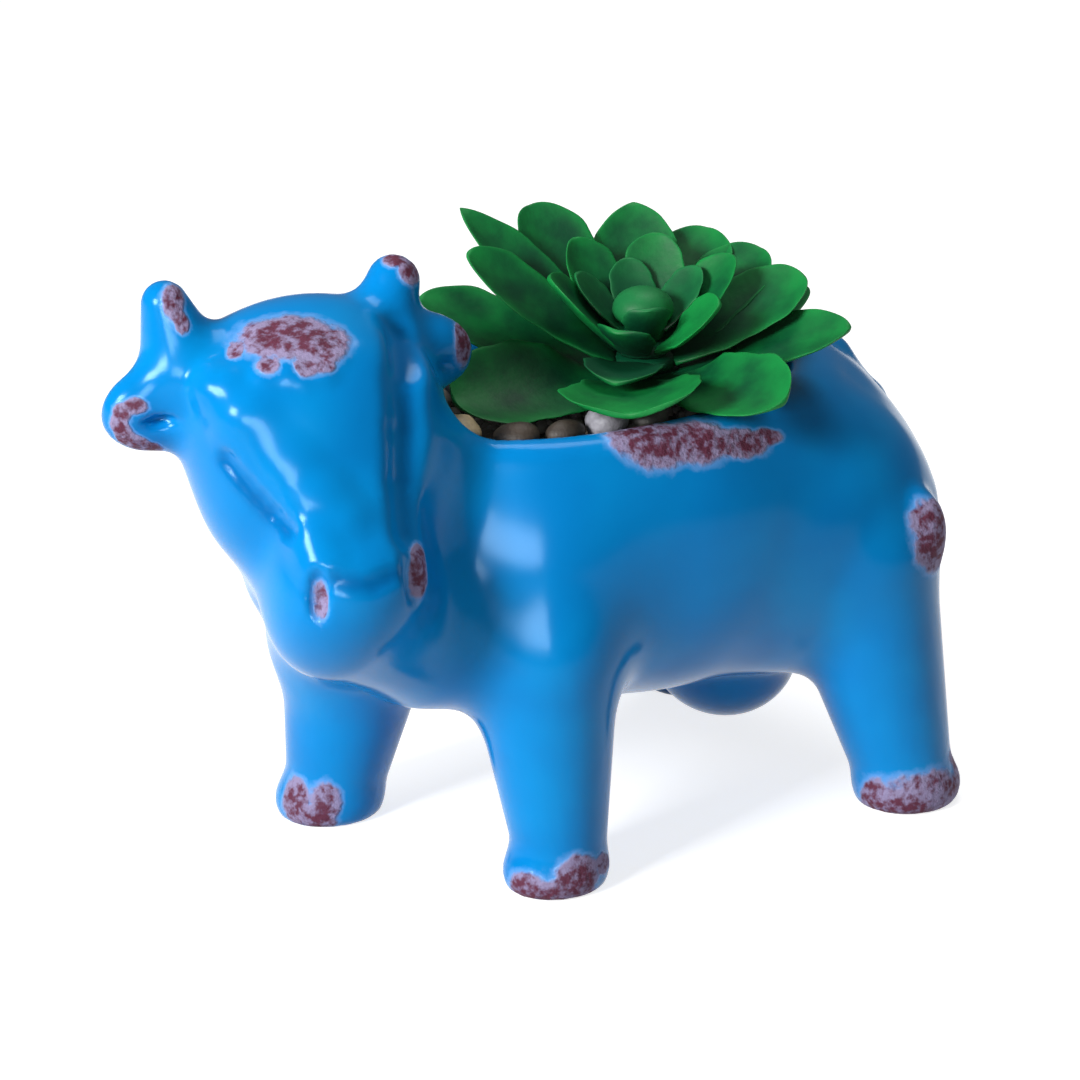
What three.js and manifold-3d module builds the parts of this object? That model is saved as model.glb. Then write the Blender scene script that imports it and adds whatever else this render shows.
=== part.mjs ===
// Cow planter: a glazed slip-cast ceramic cow, hollow, with an oval opening in its back.
// The opening holds a block of foam, a crust of glued gravel, loose-looking pebbles
// and an artificial succulent on a stem, which lifts straight out.
// Units are millimetres and +Z is up. The cow faces -X and its left side is -Y.

import * as THREE from 'three';
import Module from 'manifold-3d';

const wasm = await Module();
wasm.setup();

// Main sizes
const GROUND = 1.3;
const RIM_Z = 91;
const RIM_LEAN = 0.1;
const OPEN_X = -14;
const OPEN_A = 44;
const OPEN_B = 25.5;
const OPEN_N = 2.2;
const RIM_WALL = 4.6;
const GAP = 0.35;
const GRAVEL_TOP = RIM_Z - 6.5;
const GRAVEL_LOW = GRAVEL_TOP - 6.5;
const FOAM_TOP = GRAVEL_LOW - GAP;
const STEM_R = 2;
const BORE_R = STEM_R + GAP;
const PLANT_X = -4;
const PLANT_Y = -4;
const COLLAR_R = 6;
const COLLAR_H = 3.1;
const HUB_H = 2.6;
const HUB_STEP = HUB_H + 0.3;
const PLANT_Z = GRAVEL_TOP + COLLAR_H + 0.4;
const BUD_Z = PLANT_Z + 4 * HUB_STEP;

// Colours
const BLUE = 0x2a8fd2;
const GREEN_DEEP = 0x17693a;
const GREEN = 0x1f7d3c;
const GREEN_LIGHT = 0x2c8f3f;
const GREEN_BUD = 0x3c9c48;
const STEM_GREEN = 0x2c5a34;
const FOAM_GREEN = 0x4c6b4a;
const GRAVEL_GREY = 0x8d8a83;

// Small vector helpers
const add = (a, b) => [a[0] + b[0], a[1] + b[1], a[2] + b[2]];
const sub = (a, b) => [a[0] - b[0], a[1] - b[1], a[2] - b[2]];
const mul = (a, s) => [a[0] * s, a[1] * s, a[2] * s];
const dot = (a, b) => a[0] * b[0] + a[1] * b[1] + a[2] * b[2];
const len = (a) => Math.sqrt(dot(a, a));
const unit = (a) => mul(a, 1 / len(a));
const cross = (a, b) => [
  a[1] * b[2] - a[2] * b[1],
  a[2] * b[0] - a[0] * b[2],
  a[0] * b[1] - a[1] * b[0],
];
const rad = (d) => (d * Math.PI) / 180;

// Smooth joins of two distances over a width k
function smin(a, b, k) {
  const h = Math.max(k - Math.abs(a - b), 0) / k;
  return Math.min(a, b) - h * h * k * 0.25;
}
const smax = (a, b, k) => -smin(-a, -b, k);

// Distance to an ellipsoid, in its own axes when a frame is given
function ball(p, c, r, axes) {
  let q = sub(p, c);
  if (axes) {
    q = [dot(q, axes[0]), dot(q, axes[1]), dot(q, axes[2])];
  }
  const a = [q[0] / r[0], q[1] / r[1], q[2] / r[2]];
  const b = [a[0] / r[0], a[1] / r[1], a[2] / r[2]];
  const k0 = len(a);
  return (k0 * (k0 - 1)) / Math.max(len(b), 1e-9);
}

// Distance to the hull of two balls: a round-ended cone
function limb(p, a, b, ra, rb) {
  const ba = sub(b, a);
  const l2 = dot(ba, ba);
  const rr = ra - rb;
  const a2 = l2 - rr * rr;
  const il2 = 1 / l2;
  const pa = sub(p, a);
  const y = dot(pa, ba);
  const z = y - l2;
  const x = sub(mul(pa, l2), mul(ba, y));
  const x2 = dot(x, x);
  const y2 = y * y * l2;
  const z2 = z * z * l2;
  const k = Math.sign(rr) * rr * rr * x2;
  if (Math.sign(z) * a2 * z2 > k) {
    return Math.sqrt(x2 + z2) * il2 - rb;
  }
  if (Math.sign(y) * a2 * y2 < k) {
    return Math.sqrt(x2 + y2) * il2 - ra;
  }
  return (Math.sqrt(x2 * a2 * il2) + y * rr) * il2 - ra;
}

// Rough distance to an upright prism with a superellipse outline
function ovalPrism(p, a, b) {
  const x = Math.abs(p[0] - OPEN_X) / a;
  const y = Math.abs(p[1]) / b;
  const r = Math.pow(Math.pow(x, OPEN_N) + Math.pow(y, OPEN_N), 1 / OPEN_N);
  return (r - 1) * Math.min(a, b) * 0.9;
}

// The head is turned to the cow's left. Its frame has forward, left and up axes.
const HEAD = [-80, -1, 98];
const HEAD_TURN = rad(80);
const FWD = [-Math.cos(HEAD_TURN), -Math.sin(HEAD_TURN), 0];
const LEFT = [Math.sin(HEAD_TURN), -Math.cos(HEAD_TURN), 0];
const UP = [0, 0, 1];
const headPoint = (f, l, u) => add(HEAD, add(add(mul(FWD, f), mul(LEFT, l)), mul(UP, u)));
const HEAD_AXES = [FWD, LEFT, UP];

// Ears: centre in the head frame, slightly higher on the left
const EARS = [
  { side: 1, l: 24.2, u: 4.2 },
  { side: -1, l: 24.2, u: 1.2 },
];
// Horns: root, tip and radii
const HORNS = [
  { a: headPoint(-3, 17, 8), b: headPoint(-4, 21, 18.2), ra: 7, rb: 4.9 },
  { a: headPoint(-3, -20, 8), b: headPoint(-4, -22.7, 19.4), ra: 7.8, rb: 4.2 },
];
// Nostrils: shallow upright dimples
const NOSTRILS = [
  { c: headPoint(32.4, -10.8, -25.5), r: [1.9, 1.6, 4.4] },
  { c: headPoint(33.9, 8, -24.5), r: [2.6, 1.6, 5] },
];

function earFrame(ear) {
  const x = unit(add(mul(LEFT, ear.side), mul(UP, -0.12)));
  const y = unit(cross(unit(add(UP, mul(FWD, 0.18))), x));
  return [x, y, cross(x, y)];
}

// Legs: foot, top, radii and join width; then the hoof on each
const LEGS = [
  { a: [-42.2, -28.7, 6], b: [-43.6, -25.5, 46], ra: 8.5, rb: 14.2, k: 8 },
  { a: [-59, 26, 6], b: [-54, 21, 46], ra: 9.4, rb: 16, k: 8 },
  { a: [36.2, -38.4, 6], b: [30, -28.4, 50], ra: 9.5, rb: 16.4, k: 5 },
  { a: [40, 36, 6], b: [29, 27.5, 50], ra: 9.5, rb: 16.4, k: 5 },
];
const HOOVES = [
  { c: [-43.6, -28.5, 4.5], r: [10.2, 9.2, 7] },
  { c: [-60.3, 26, 4.5], r: [10.8, 10, 7] },
  { c: [36.4, -38.8, 4.5], r: [11, 10.2, 7] },
  { c: [39, 36, 4.5], r: [11, 10.2, 7] },
];
// The tail lies on the rump and curls to the left thigh, where it ends in a tuft
const TAIL = [
  { p: [36, 2, 85.5], r: 4.5 },
  { p: [46.5, 0.5, 82.5], r: 4.6 },
  { p: [52.6, -4.5, 73.5], r: 4 },
  { p: [53, -11.8, 64.8], r: 3.3 },
  { p: [50.6, -20.6, 61.5], r: 3.3 },
  { p: [44.8, -29.4, 61], r: 3.3 },
];
const TAIL_TUFT = { c: [38.2, -37.4, 57.6], r: [5.6, 6.2, 8.4] };

// Torso, chest, haunches, rim collar cut by its leaning plane, legs, tail and udder
function bodyField(p) {
  let d = ball(p, [-1, 0, 61], [57, 40.5, 36]);
  d = smin(d, ball(p, [-40, -1, 59.5], [26, 35, 31.2]), 12);
  d = smin(d, ball(p, [26, -18.2, 54.5], [29, 23.4, 28]), 9);
  d = smin(d, ball(p, [26, 18.2, 54.5], [29, 23.4, 28]), 9);
  d = smin(d, limb(p, [14, 0, 70], [36, -3, 65], 19, 17.5), 9);
  d = smin(d, limb(p, [35, 0, 71], [38, -7, 60], 17.5, 19), 6);
  d = smin(d, ball(p, [-12, 0, 73], [47, 35, 25]), 10);
  let collar = ovalPrism(p, OPEN_A + RIM_WALL, OPEN_B + RIM_WALL);
  collar = smax(collar, 62 - p[2], 6);
  d = smin(d, collar, 7);
  d = smax(d, p[2] - RIM_Z - RIM_LEAN * p[1], 3);
  for (const leg of LEGS) {
    d = smin(d, limb(p, leg.a, leg.b, leg.ra, leg.rb), leg.k);
  }
  for (const hoof of HOOVES) {
    d = smin(d, ball(p, hoof.c, hoof.r), 3);
  }
  for (let i = 0; i + 1 < TAIL.length; i += 1) {
    d = smin(d, limb(p, TAIL[i].p, TAIL[i + 1].p, TAIL[i].r, TAIL[i + 1].r), 5);
  }
  d = smin(d, ball(p, TAIL_TUFT.c, TAIL_TUFT.r), 3);
  return smin(d, ball(p, [18.8, -1, 26.6], [15, 16, 14.5]), 4);
}

// The face: a tapered block with rounded corners, from the brow to the nose.
// Half width and half depth are given at its two ends.
const FACE_TOP = headPoint(4.5, 0, -1);
const FACE_END = headPoint(25, -1, -27);
const FACE_WIDE = [18.5, 10.2];
const FACE_DEEP = [14, 10.4];

function faceWedge(p) {
  const run = sub(FACE_END, FACE_TOP);
  const long = len(run);
  const axis = mul(run, 1 / long);
  const front = cross(LEFT, axis);
  const q = sub(p, FACE_TOP);
  const s = dot(q, axis);
  const t = Math.min(1.2, Math.max(-0.2, s / long));
  const w = FACE_WIDE[0] + (FACE_WIDE[1] - FACE_WIDE[0]) * t;
  const h = FACE_DEEP[0] + (FACE_DEEP[1] - FACE_DEEP[0]) * t;
  const x = Math.abs(dot(q, LEFT) / w);
  const y = Math.abs(dot(q, front) / h);
  const d = (Math.cbrt(x ** 3 + y ** 3) - 1) * Math.min(w, h);
  return smax(d, Math.abs(s - long / 2) - long / 2 - 4, 8);
}

// Skull, poll, face, muzzle, cheeks and brows
function headField(p) {
  let h = ball(p, headPoint(-1, 0, -1), [19, 21.5, 15.4], HEAD_AXES);
  h = smin(h, limb(p, headPoint(-2, -13, 7.6), headPoint(-2, 13, 7.6), 6.2, 6.2), 6);
  h = smin(h, faceWedge(p), 8);
  h = smin(h, ball(p, headPoint(26, -1.2, -28.5), [9.5, 11.2, 8.5], HEAD_AXES), 8);
  for (const s of [-1, 1]) {
    h = smin(h, ball(p, headPoint(6, 13 * s, -12), [12, 7.6, 12], HEAD_AXES), 5);
    h = smin(h, ball(p, headPoint(12, 14 * s, 3), [4.5, 5, 3.6], HEAD_AXES), 4);
  }
  return h;
}

// The whole outside of the cow as one smooth field, negative inside. The limbs after the
// body are the neck, the chest, the dewlap and the throat.
function cowField(p) {
  let d = bodyField(p);
  d = smin(d, limb(p, [-58, 0, 64], [-76, 0, 93], 22, 19), 9);
  d = smin(d, limb(p, [-57, -2, 54.5], [-80, -7, 72], 17.3, 13), 8);
  d = smin(d, limb(p, [-77, 0, 64], [-60, 21, 42], 12, 12.5), 9);
  d = smin(d, limb(p, headPoint(18.5, -1, -36), [-62, -10, 51], 10.5, 13.5), 5);
  d = smin(d, headField(p), 8);
  for (const ear of EARS) {
    const frame = earFrame(ear);
    const c = headPoint(-3, ear.l * ear.side, ear.u);
    let e = ball(p, c, [11.5, 5.6, 8.4], frame);
    const deep = add(mul(frame[1], -ear.side * 6.2), mul(frame[2], -0.8));
    const dish = add(c, add(mul(frame[0], -1), deep));
    e = smax(e, -ball(p, dish, [7, 4, 2.8], frame), 2.5);
    d = smin(d, e, 4);
  }
  for (const horn of HORNS) {
    d = smin(d, limb(p, horn.a, horn.b, horn.ra, horn.rb), 4);
  }
  return d;
}

// Grid lines from a start, each stretch up to its end in even steps of about its width
function lines(start, steps) {
  const out = [start];
  let x = start;
  for (const [end, step] of steps) {
    const n = Math.max(1, Math.round((end - x) / step));
    const w = (end - x) / n;
    const base = x;
    for (let i = 1; i <= n; i += 1) {
      out.push(base + w * i);
    }
    x = end;
  }
  return out;
}

// Closed mesh of a field's zero surface: one point per crossed cell, one quad per crossed edge
function skin(field, xs, ys, zs) {
  const nx = xs.length;
  const ny = ys.length;
  const nz = zs.length;
  const at = (i, j, k) => (i * ny + j) * nz + k;
  const f = new Float64Array(nx * ny * nz);
  for (let i = 0; i < nx; i += 1) {
    for (let j = 0; j < ny; j += 1) {
      for (let k = 0; k < nz; k += 1) {
        f[at(i, j, k)] = field([xs[i], ys[j], zs[k]]) || 1e-6;
      }
    }
  }
  const cell = new Int32Array(nx * ny * nz).fill(-1);
  const pos = [];
  for (let i = 0; i + 1 < nx; i += 1) {
    for (let j = 0; j + 1 < ny; j += 1) {
      for (let k = 0; k + 1 < nz; k += 1) {
        const sum = [0, 0, 0];
        let count = 0;
        for (let c = 0; c < 8; c += 1) {
          for (const bit of [1, 2, 4]) {
            if (c & bit) {
              continue;
            }
            const e = c | bit;
            const a = [i + (c & 1), j + ((c >> 1) & 1), k + ((c >> 2) & 1)];
            const b = [i + (e & 1), j + ((e >> 1) & 1), k + ((e >> 2) & 1)];
            const fa = f[at(a[0], a[1], a[2])];
            const fb = f[at(b[0], b[1], b[2])];
            if (fa < 0 === fb < 0) {
              continue;
            }
            const t = Math.min(0.93, Math.max(0.07, fa / (fa - fb)));
            sum[0] += xs[a[0]] + (xs[b[0]] - xs[a[0]]) * t;
            sum[1] += ys[a[1]] + (ys[b[1]] - ys[a[1]]) * t;
            sum[2] += zs[a[2]] + (zs[b[2]] - zs[a[2]]) * t;
            count += 1;
          }
        }
        if (count > 0) {
          cell[at(i, j, k)] = pos.length / 3;
          pos.push(sum[0] / count, sum[1] / count, sum[2] / count);
        }
      }
    }
  }
  const idx = [];
  const point = (n) => [pos[3 * n], pos[3 * n + 1], pos[3 * n + 2]];
  function quad(a, b, c, d, flip) {
    const q = flip ? [a, d, c, b] : [a, b, c, d];
    const ac = len(sub(point(q[0]), point(q[2])));
    const bd = len(sub(point(q[1]), point(q[3])));
    if (ac < bd) {
      idx.push(q[0], q[1], q[2], q[0], q[2], q[3]);
    } else {
      idx.push(q[0], q[1], q[3], q[1], q[2], q[3]);
    }
  }
  for (let i = 1; i + 1 < nx; i += 1) {
    for (let j = 1; j + 1 < ny; j += 1) {
      for (let k = 1; k + 1 < nz; k += 1) {
        const inside = f[at(i, j, k)] < 0;
        const c = (x, y, z) => cell[at(i - x, j - y, k - z)];
        if (inside !== f[at(i + 1, j, k)] < 0) {
          quad(c(0, 1, 1), c(0, 0, 1), c(0, 0, 0), c(0, 1, 0), !inside);
        }
        if (inside !== f[at(i, j + 1, k)] < 0) {
          quad(c(1, 0, 1), c(1, 0, 0), c(0, 0, 0), c(0, 0, 1), !inside);
        }
        if (inside !== f[at(i, j, k + 1)] < 0) {
          quad(c(1, 1, 0), c(0, 1, 0), c(0, 0, 0), c(1, 0, 0), !inside);
        }
      }
    }
  }
  return solid(pos, idx);
}

// A solid from plain lists of points and triangles
function solid(pos, idx) {
  const mesh = new wasm.Mesh({
    numProp: 3,
    vertProperties: new Float32Array(pos),
    triVerts: new Uint32Array(idx),
  });
  mesh.merge();
  return new wasm.Manifold(mesh);
}

// A closed tube of rings with a point at each end; ring(i, j) gives a position
function tube(n, m, ring, low, high) {
  const pos = [];
  const idx = [];
  for (let i = 0; i < n; i += 1) {
    for (let j = 0; j < m; j += 1) {
      pos.push(...ring(i, j));
    }
  }
  pos.push(...low);
  pos.push(...high);
  const first = n * m;
  const last = first + 1;
  for (let j = 0; j < m; j += 1) {
    const k = (j + 1) % m;
    idx.push(first, k, j);
    idx.push(last, (n - 1) * m + j, (n - 1) * m + k);
    for (let i = 0; i + 1 < n; i += 1) {
      idx.push(i * m + j, i * m + k, (i + 1) * m + k);
      idx.push(i * m + j, (i + 1) * m + k, (i + 1) * m + j);
    }
  }
  return solid(pos, idx);
}

// Body turned about an upright axis from [radius, height] pairs, listed from the bottom up
function turned(profile, cx, cy, m) {
  const z0 = profile[0][1];
  const z1 = profile[profile.length - 1][1];
  return tube(
    profile.length,
    m,
    (i, j) => {
      const a = (2 * Math.PI * j) / m;
      return [cx + profile[i][0] * Math.cos(a), cy + profile[i][0] * Math.sin(a), profile[i][1]];
    },
    [cx, cy, z0],
    [cx, cy, z1],
  );
}

// Upright prism with the opening's outline, drawn in by an amount
function oval(inset, z0, z1, m) {
  const a = OPEN_A - inset;
  const b = OPEN_B - inset;
  const power = (v) => Math.sign(v) * Math.pow(Math.abs(v), 2 / OPEN_N);
  return tube(
    2,
    m,
    (i, j) => {
      const t = (2 * Math.PI * (j + 0.5)) / m;
      return [OPEN_X + a * power(Math.cos(t)), b * power(Math.sin(t)), i ? z1 : z0];
    },
    [OPEN_X, 0, z0],
    [OPEN_X, 0, z1],
  );
}

// Ellipsoid with m sides and n rings
function egg(c, r, n, m) {
  return tube(
    n,
    m,
    (i, j) => {
      const v = (Math.PI * (i + 1)) / (n + 1);
      const a = (2 * Math.PI * j) / m;
      return [
        c[0] + r[0] * Math.sin(v) * Math.cos(a),
        c[1] + r[1] * Math.sin(v) * Math.sin(a),
        c[2] - r[2] * Math.cos(v),
      ];
    },
    [c[0], c[1], c[2] - r[2]],
    [c[0], c[1], c[2] + r[2]],
  );
}

// Straight round bar with round ends between two points
function capsule(a, b, ra, rb, m) {
  const z = unit(sub(b, a));
  const x = unit(cross([0, 1, 0], z));
  const y = cross(z, x);
  const stations = [
    [a, ra, -0.8],
    [a, ra, 0],
    [b, rb, 0],
    [b, rb, 0.8],
  ];
  return tube(
    4,
    m,
    (i, j) => {
      const [c, r, s] = stations[i];
      const t = (2 * Math.PI * j) / m;
      const w = r * Math.sqrt(1 - s * s);
      const side = add(mul(x, w * Math.cos(t)), mul(y, w * Math.sin(t)));
      return add(add(c, mul(z, r * s)), side);
    },
    add(a, mul(z, -ra)),
    add(b, mul(z, rb)),
  );
}

// Inside hollow of the body
const HOLLOW_C = [-3, 0, 60.5];
const HOLLOW_R = [50, 34.5, 30];

function hollow() {
  let h = egg(HOLLOW_C, HOLLOW_R, 13, 28);
  h = h.add(oval(0, 70, RIM_Z + 4, 44));
  h = h.add(capsule([-48, 0, 62], [-75, -1, 92], 13, 10, 14));
  return h;
}

function cowPot() {
  const xs = lines(-120, [[-58, 3.1], [66, 5]]);
  const ys = lines(-54, [[55, 4.4]]);
  const zs = lines(-11.4, [[83, 4.75], [128, 3.1]]);
  let cow = skin(cowField, xs, ys, zs);
  const underGround = turned([[200, -20], [200, GROUND]], 0, 0, 8);
  cow = cow.subtract(underGround);
  cow = cow.subtract(hollow());
  for (const nostril of NOSTRILS) {
    cow = cow.subtract(egg(nostril.c, nostril.r, 3, 8));
  }
  return cow;
}

// Foam block: oval block trimmed to the floor of the hollow, with the stem's socket
function foam() {
  let f = oval(2, 20, FOAM_TOP, 36);
  f = f.intersect(egg(HOLLOW_C, HOLLOW_R.map((v) => v - GAP), 13, 28));
  return f.subtract(turned([[BORE_R, 50], [BORE_R, FOAM_TOP + 1]], PLANT_X, PLANT_Y, 16));
}

// Gravel crust: a plate with the opening's outline and a hole for the stem
function gravel() {
  const g = oval(GAP, GRAVEL_LOW, GRAVEL_TOP, 44);
  const hole = [[BORE_R, GRAVEL_LOW - 1], [BORE_R, GRAVEL_TOP + 1]];
  return g.subtract(turned(hole, PLANT_X, PLANT_Y, 16));
}

// Pebbles: place as fractions of the opening's half length and half width, size, turn and colour
const PEBBLES = [
  { u: -0.818, v: -0.314, r: [4.6, 4.2, 3.4], t: 20, c: 0xcdbb93 },
  { u: -0.648, v: -0.643, r: [4.4, 3.4, 3], t: -30, c: 0x6a5c48 },
  { u: -0.441, v: -0.737, r: [4.2, 3, 2.6], t: 10, c: 0x4b4036 },
  { u: -0.232, v: -0.761, r: [4.4, 3.6, 3.4], t: -12, c: 0xc2c0bd },
  { u: -0.018, v: -0.8, r: [4.2, 3, 2.4], t: 8, c: 0x54504a },
  { u: 0.418, v: -0.706, r: [4.8, 3.4, 2.8], t: 12, c: 0x97928a },
  { u: 0.705, v: -0.51, r: [4.6, 3.6, 3], t: 38, c: 0xb9ad94 },
  { u: 0.827, v: -0.078, r: [3.6, 4.8, 3], t: 10, c: 0x857c70 },
  { u: 0.718, v: 0.392, r: [4.6, 3.8, 3.2], t: -36, c: 0xc9c5be },
  { u: 0.432, v: 0.643, r: [5, 3.8, 3.2], t: -8, c: 0x77695a },
  { u: -0.102, v: 0.686, r: [7.4, 5, 6.4], t: -6, c: 0xa88a84 },
  { u: -0.409, v: 0.643, r: [4.6, 3.8, 3.2], t: 14, c: 0xb4ab9c },
  { u: -0.659, v: 0.471, r: [4.8, 3.8, 3], t: 30, c: 0x8a857d },
  { u: -0.845, v: 0.102, r: [3.6, 4.4, 3], t: 5, c: 0x9d8f78 },
];

function pebble(spec) {
  const turn = rad(spec.t);
  const px = OPEN_X + spec.u * OPEN_A;
  const py = spec.v * OPEN_B;
  const sit = GRAVEL_TOP + 0.04;
  return tube(
    4,
    8,
    (i, j) => {
      const up = [0, 0.35, 0.95, 1.55][i];
      const wide = [0.7, 0.97, 0.97, 0.58][i];
      const a = (2 * Math.PI * j) / 8;
      const x = spec.r[0] * wide * Math.cos(a);
      const y = spec.r[1] * wide * Math.sin(a);
      return [
        px + x * Math.cos(turn) - y * Math.sin(turn),
        py + x * Math.sin(turn) + y * Math.cos(turn),
        sit + spec.r[2] * up,
      ];
    },
    [px, py, sit],
    [px, py, sit + spec.r[2] * 1.82],
  );
}

// Leaf: a cupped blade that starts in the hub and climbs at an angle that can change
function leaf(spec, hub) {
  const n = 5;
  const m = 6;
  const az = rad(spec.dir);
  const r0 = hub.hubR - 0.9;
  const spine = [[r0, hub.hub + HUB_H / 2]];
  const slope = (t) => rad(spec.e0 + (spec.e1 - spec.e0) * t);
  const fine = 60;
  for (let i = 0; i < fine; i += 1) {
    const e = slope((i + 0.5) / fine);
    const [r, z] = spine[i];
    spine.push([r + (Math.cos(e) * spec.len) / fine, z + (Math.sin(e) * spec.len) / fine]);
  }
  const stations = [0, 0.28, 0.58, 0.84, 0.975];
  const width = (t) => 0.4 * (1 - t) ** 2 + 1.24 * t ** 0.9 * (1 - t ** 2.4) ** 0.62;
  const place = (r, z, across) => [
    PLANT_X + r * Math.cos(az) - across * Math.sin(az),
    PLANT_Y + r * Math.sin(az) + across * Math.cos(az),
    z,
  ];
  const tip = spine[fine];
  return tube(
    n,
    m,
    (i, j) => {
      const t = stations[i];
      const [r, z] = spine[Math.round(t * fine)];
      const e = slope(t);
      const w = (spec.wide / 2) * width(t);
      const a = (-2 * Math.PI * j) / m;
      const s = Math.cos(a);
      const grown = Math.min(1, t / 0.34);
      const roll = rad(spec.roll) * grown;
      const plump = (hub.thick / 2) * (1 - 0.55 * t) * Math.sin(a);
      const bend = hub.cup * grown * w * s * s + plump;
      const lift = bend * Math.cos(roll) - w * s * Math.sin(roll);
      const across = -w * s * Math.cos(roll) - bend * Math.sin(roll);
      return place(r - Math.sin(e) * lift, z + Math.cos(e) * lift, across);
    },
    place(spine[0][0], spine[0][1], 0),
    place(tip[0], tip[1], 0),
  );
}

// Leaf whorls from the outside in. dir is the way each leaf points, seen from above.
const VIEW = -36.87;
const WHORLS = {
  leaf_whorl_outer: {
    hub: PLANT_Z, hubR: 7.4, thick: 2.6, cup: 0.3, color: GREEN_DEEP,
    leaves: [
      { dir: VIEW + 178, e0: 13, e1: 31, len: 40, wide: 25, roll: -18 },
      { dir: VIEW + 213, e0: 4, e1: 1, len: 36, wide: 26, roll: -33 },
      { dir: VIEW + 266, e0: 9, e1: -1.3, len: 26, wide: 31, roll: 5 },
      { dir: VIEW + 314, e0: 5.5, e1: 4.5, len: 31.5, wide: 25, roll: 28 },
      { dir: VIEW + 353, e0: 14, e1: 22, len: 35.5, wide: 23, roll: 19 },
      { dir: VIEW + 30, e0: 16, e1: 28, len: 33.5, wide: 23, roll: 9.6 },
      { dir: VIEW + 76, e0: 16, e1: 30, len: 32, wide: 24, roll: 0 },
      { dir: VIEW + 124, e0: 17, e1: 32, len: 33, wide: 24, roll: -8 },
    ],
  },
  leaf_whorl_middle: {
    hub: PLANT_Z + HUB_STEP, hubR: 6.3, thick: 2.4, cup: 0.3, color: GREEN,
    leaves: [
      { dir: VIEW + 184, e0: 33, e1: 43, len: 36, wide: 17, roll: -30 },
      { dir: VIEW + 166, e0: 38, e1: 46, len: 42, wide: 17, roll: -24 },
      { dir: VIEW + 140, e0: 43, e1: 52, len: 35.5, wide: 20.5, roll: -14 },
      { dir: VIEW + 94, e0: 45, e1: 52, len: 33, wide: 25, roll: 0 },
      { dir: VIEW + 64, e0: 36, e1: 43, len: 31, wide: 21, roll: 9.6 },
      { dir: VIEW + 40, e0: 31, e1: 38, len: 30.5, wide: 21, roll: 16 },
      { dir: VIEW + 15, e0: 23, e1: 33, len: 31, wide: 22, roll: 24 },
      { dir: VIEW + 256, e0: 12, e1: 0, len: 17, wide: 21, roll: -2 },
    ],
  },
  leaf_whorl_inner: {
    hub: PLANT_Z + 2 * HUB_STEP, hubR: 5.2, thick: 2.2, cup: 0.3, color: GREEN,
    leaves: [
      { dir: VIEW + 328, e0: 34, e1: 46, len: 17, wide: 15, roll: 34 },
      { dir: VIEW + 196, e0: 40, e1: 52, len: 21, wide: 16, roll: -16 },
      { dir: VIEW + 140, e0: 48, e1: 60, len: 23, wide: 18, roll: -8 },
      { dir: VIEW + 80, e0: 52, e1: 62, len: 22, wide: 18, roll: 4 },
      { dir: VIEW + 24, e0: 40, e1: 54, len: 22, wide: 17, roll: 14 },
      { dir: VIEW + 250, e0: 26, e1: 40, len: 12.5, wide: 16, roll: -6 },
    ],
  },
  leaf_whorl_heart: {
    hub: PLANT_Z + 3 * HUB_STEP, hubR: 4.1, thick: 2, cup: 0.25, color: GREEN_LIGHT,
    leaves: [
      { dir: VIEW + 168, e0: 36, e1: 58, len: 15, wide: 13, roll: -8 },
      { dir: VIEW + 106, e0: 43, e1: 67, len: 14.5, wide: 13, roll: 0 },
      { dir: VIEW + 36, e0: 36, e1: 58, len: 15, wide: 13, roll: 8 },
      { dir: VIEW + 276, e0: 34, e1: 62, len: 9.5, wide: 13, roll: 4 },
    ],
  },
};

function whorl(spec) {
  const top = spec.hub + HUB_H;
  let body = turned([[spec.hubR, spec.hub], [spec.hubR, top]], PLANT_X, PLANT_Y, 16);
  for (const one of spec.leaves) {
    body = body.add(leaf(one, spec));
  }
  const bore = turned([[BORE_R, spec.hub - 1], [BORE_R, top + 1]], PLANT_X, PLANT_Y, 16);
  return body.subtract(bore);
}

function bud() {
  const shape = [[3.2, BUD_Z], [6, BUD_Z + 2.8], [5, BUD_Z + 5.4], [2.6, BUD_Z + 7]];
  const body = turned(shape, PLANT_X, PLANT_Y, 12);
  const socket = [[BORE_R, BUD_Z - 1], [BORE_R, BUD_Z + 4]];
  return body.subtract(turned(socket, PLANT_X, PLANT_Y, 16));
}

function stem() {
  const base = GRAVEL_TOP + 0.05;
  const shape = [
    [0.5, 52],
    [STEM_R, 57],
    [STEM_R, base],
    [COLLAR_R, base],
    [COLLAR_R, base + COLLAR_H],
    [STEM_R, base + COLLAR_H],
    [STEM_R, BUD_Z + 3.6],
  ];
  return turned(shape, PLANT_X, PLANT_Y, 16);
}

function meshOf(name, body, color, roughness) {
  const got = body.getMesh();
  const geometry = new THREE.BufferGeometry();
  const pos = new Float32Array(got.numVert * 3);
  for (let i = 0; i < got.numVert; i += 1) {
    for (let a = 0; a < 3; a += 1) {
      pos[3 * i + a] = got.vertProperties[i * got.numProp + a];
    }
  }
  geometry.setAttribute('position', new THREE.BufferAttribute(pos, 3));
  geometry.setIndex(new THREE.BufferAttribute(new Uint32Array(got.triVerts), 1));
  const material = new THREE.MeshStandardMaterial({ color, roughness, metalness: 0 });
  const mesh = new THREE.Mesh(geometry, material);
  mesh.name = name;
  return mesh;
}

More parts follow.
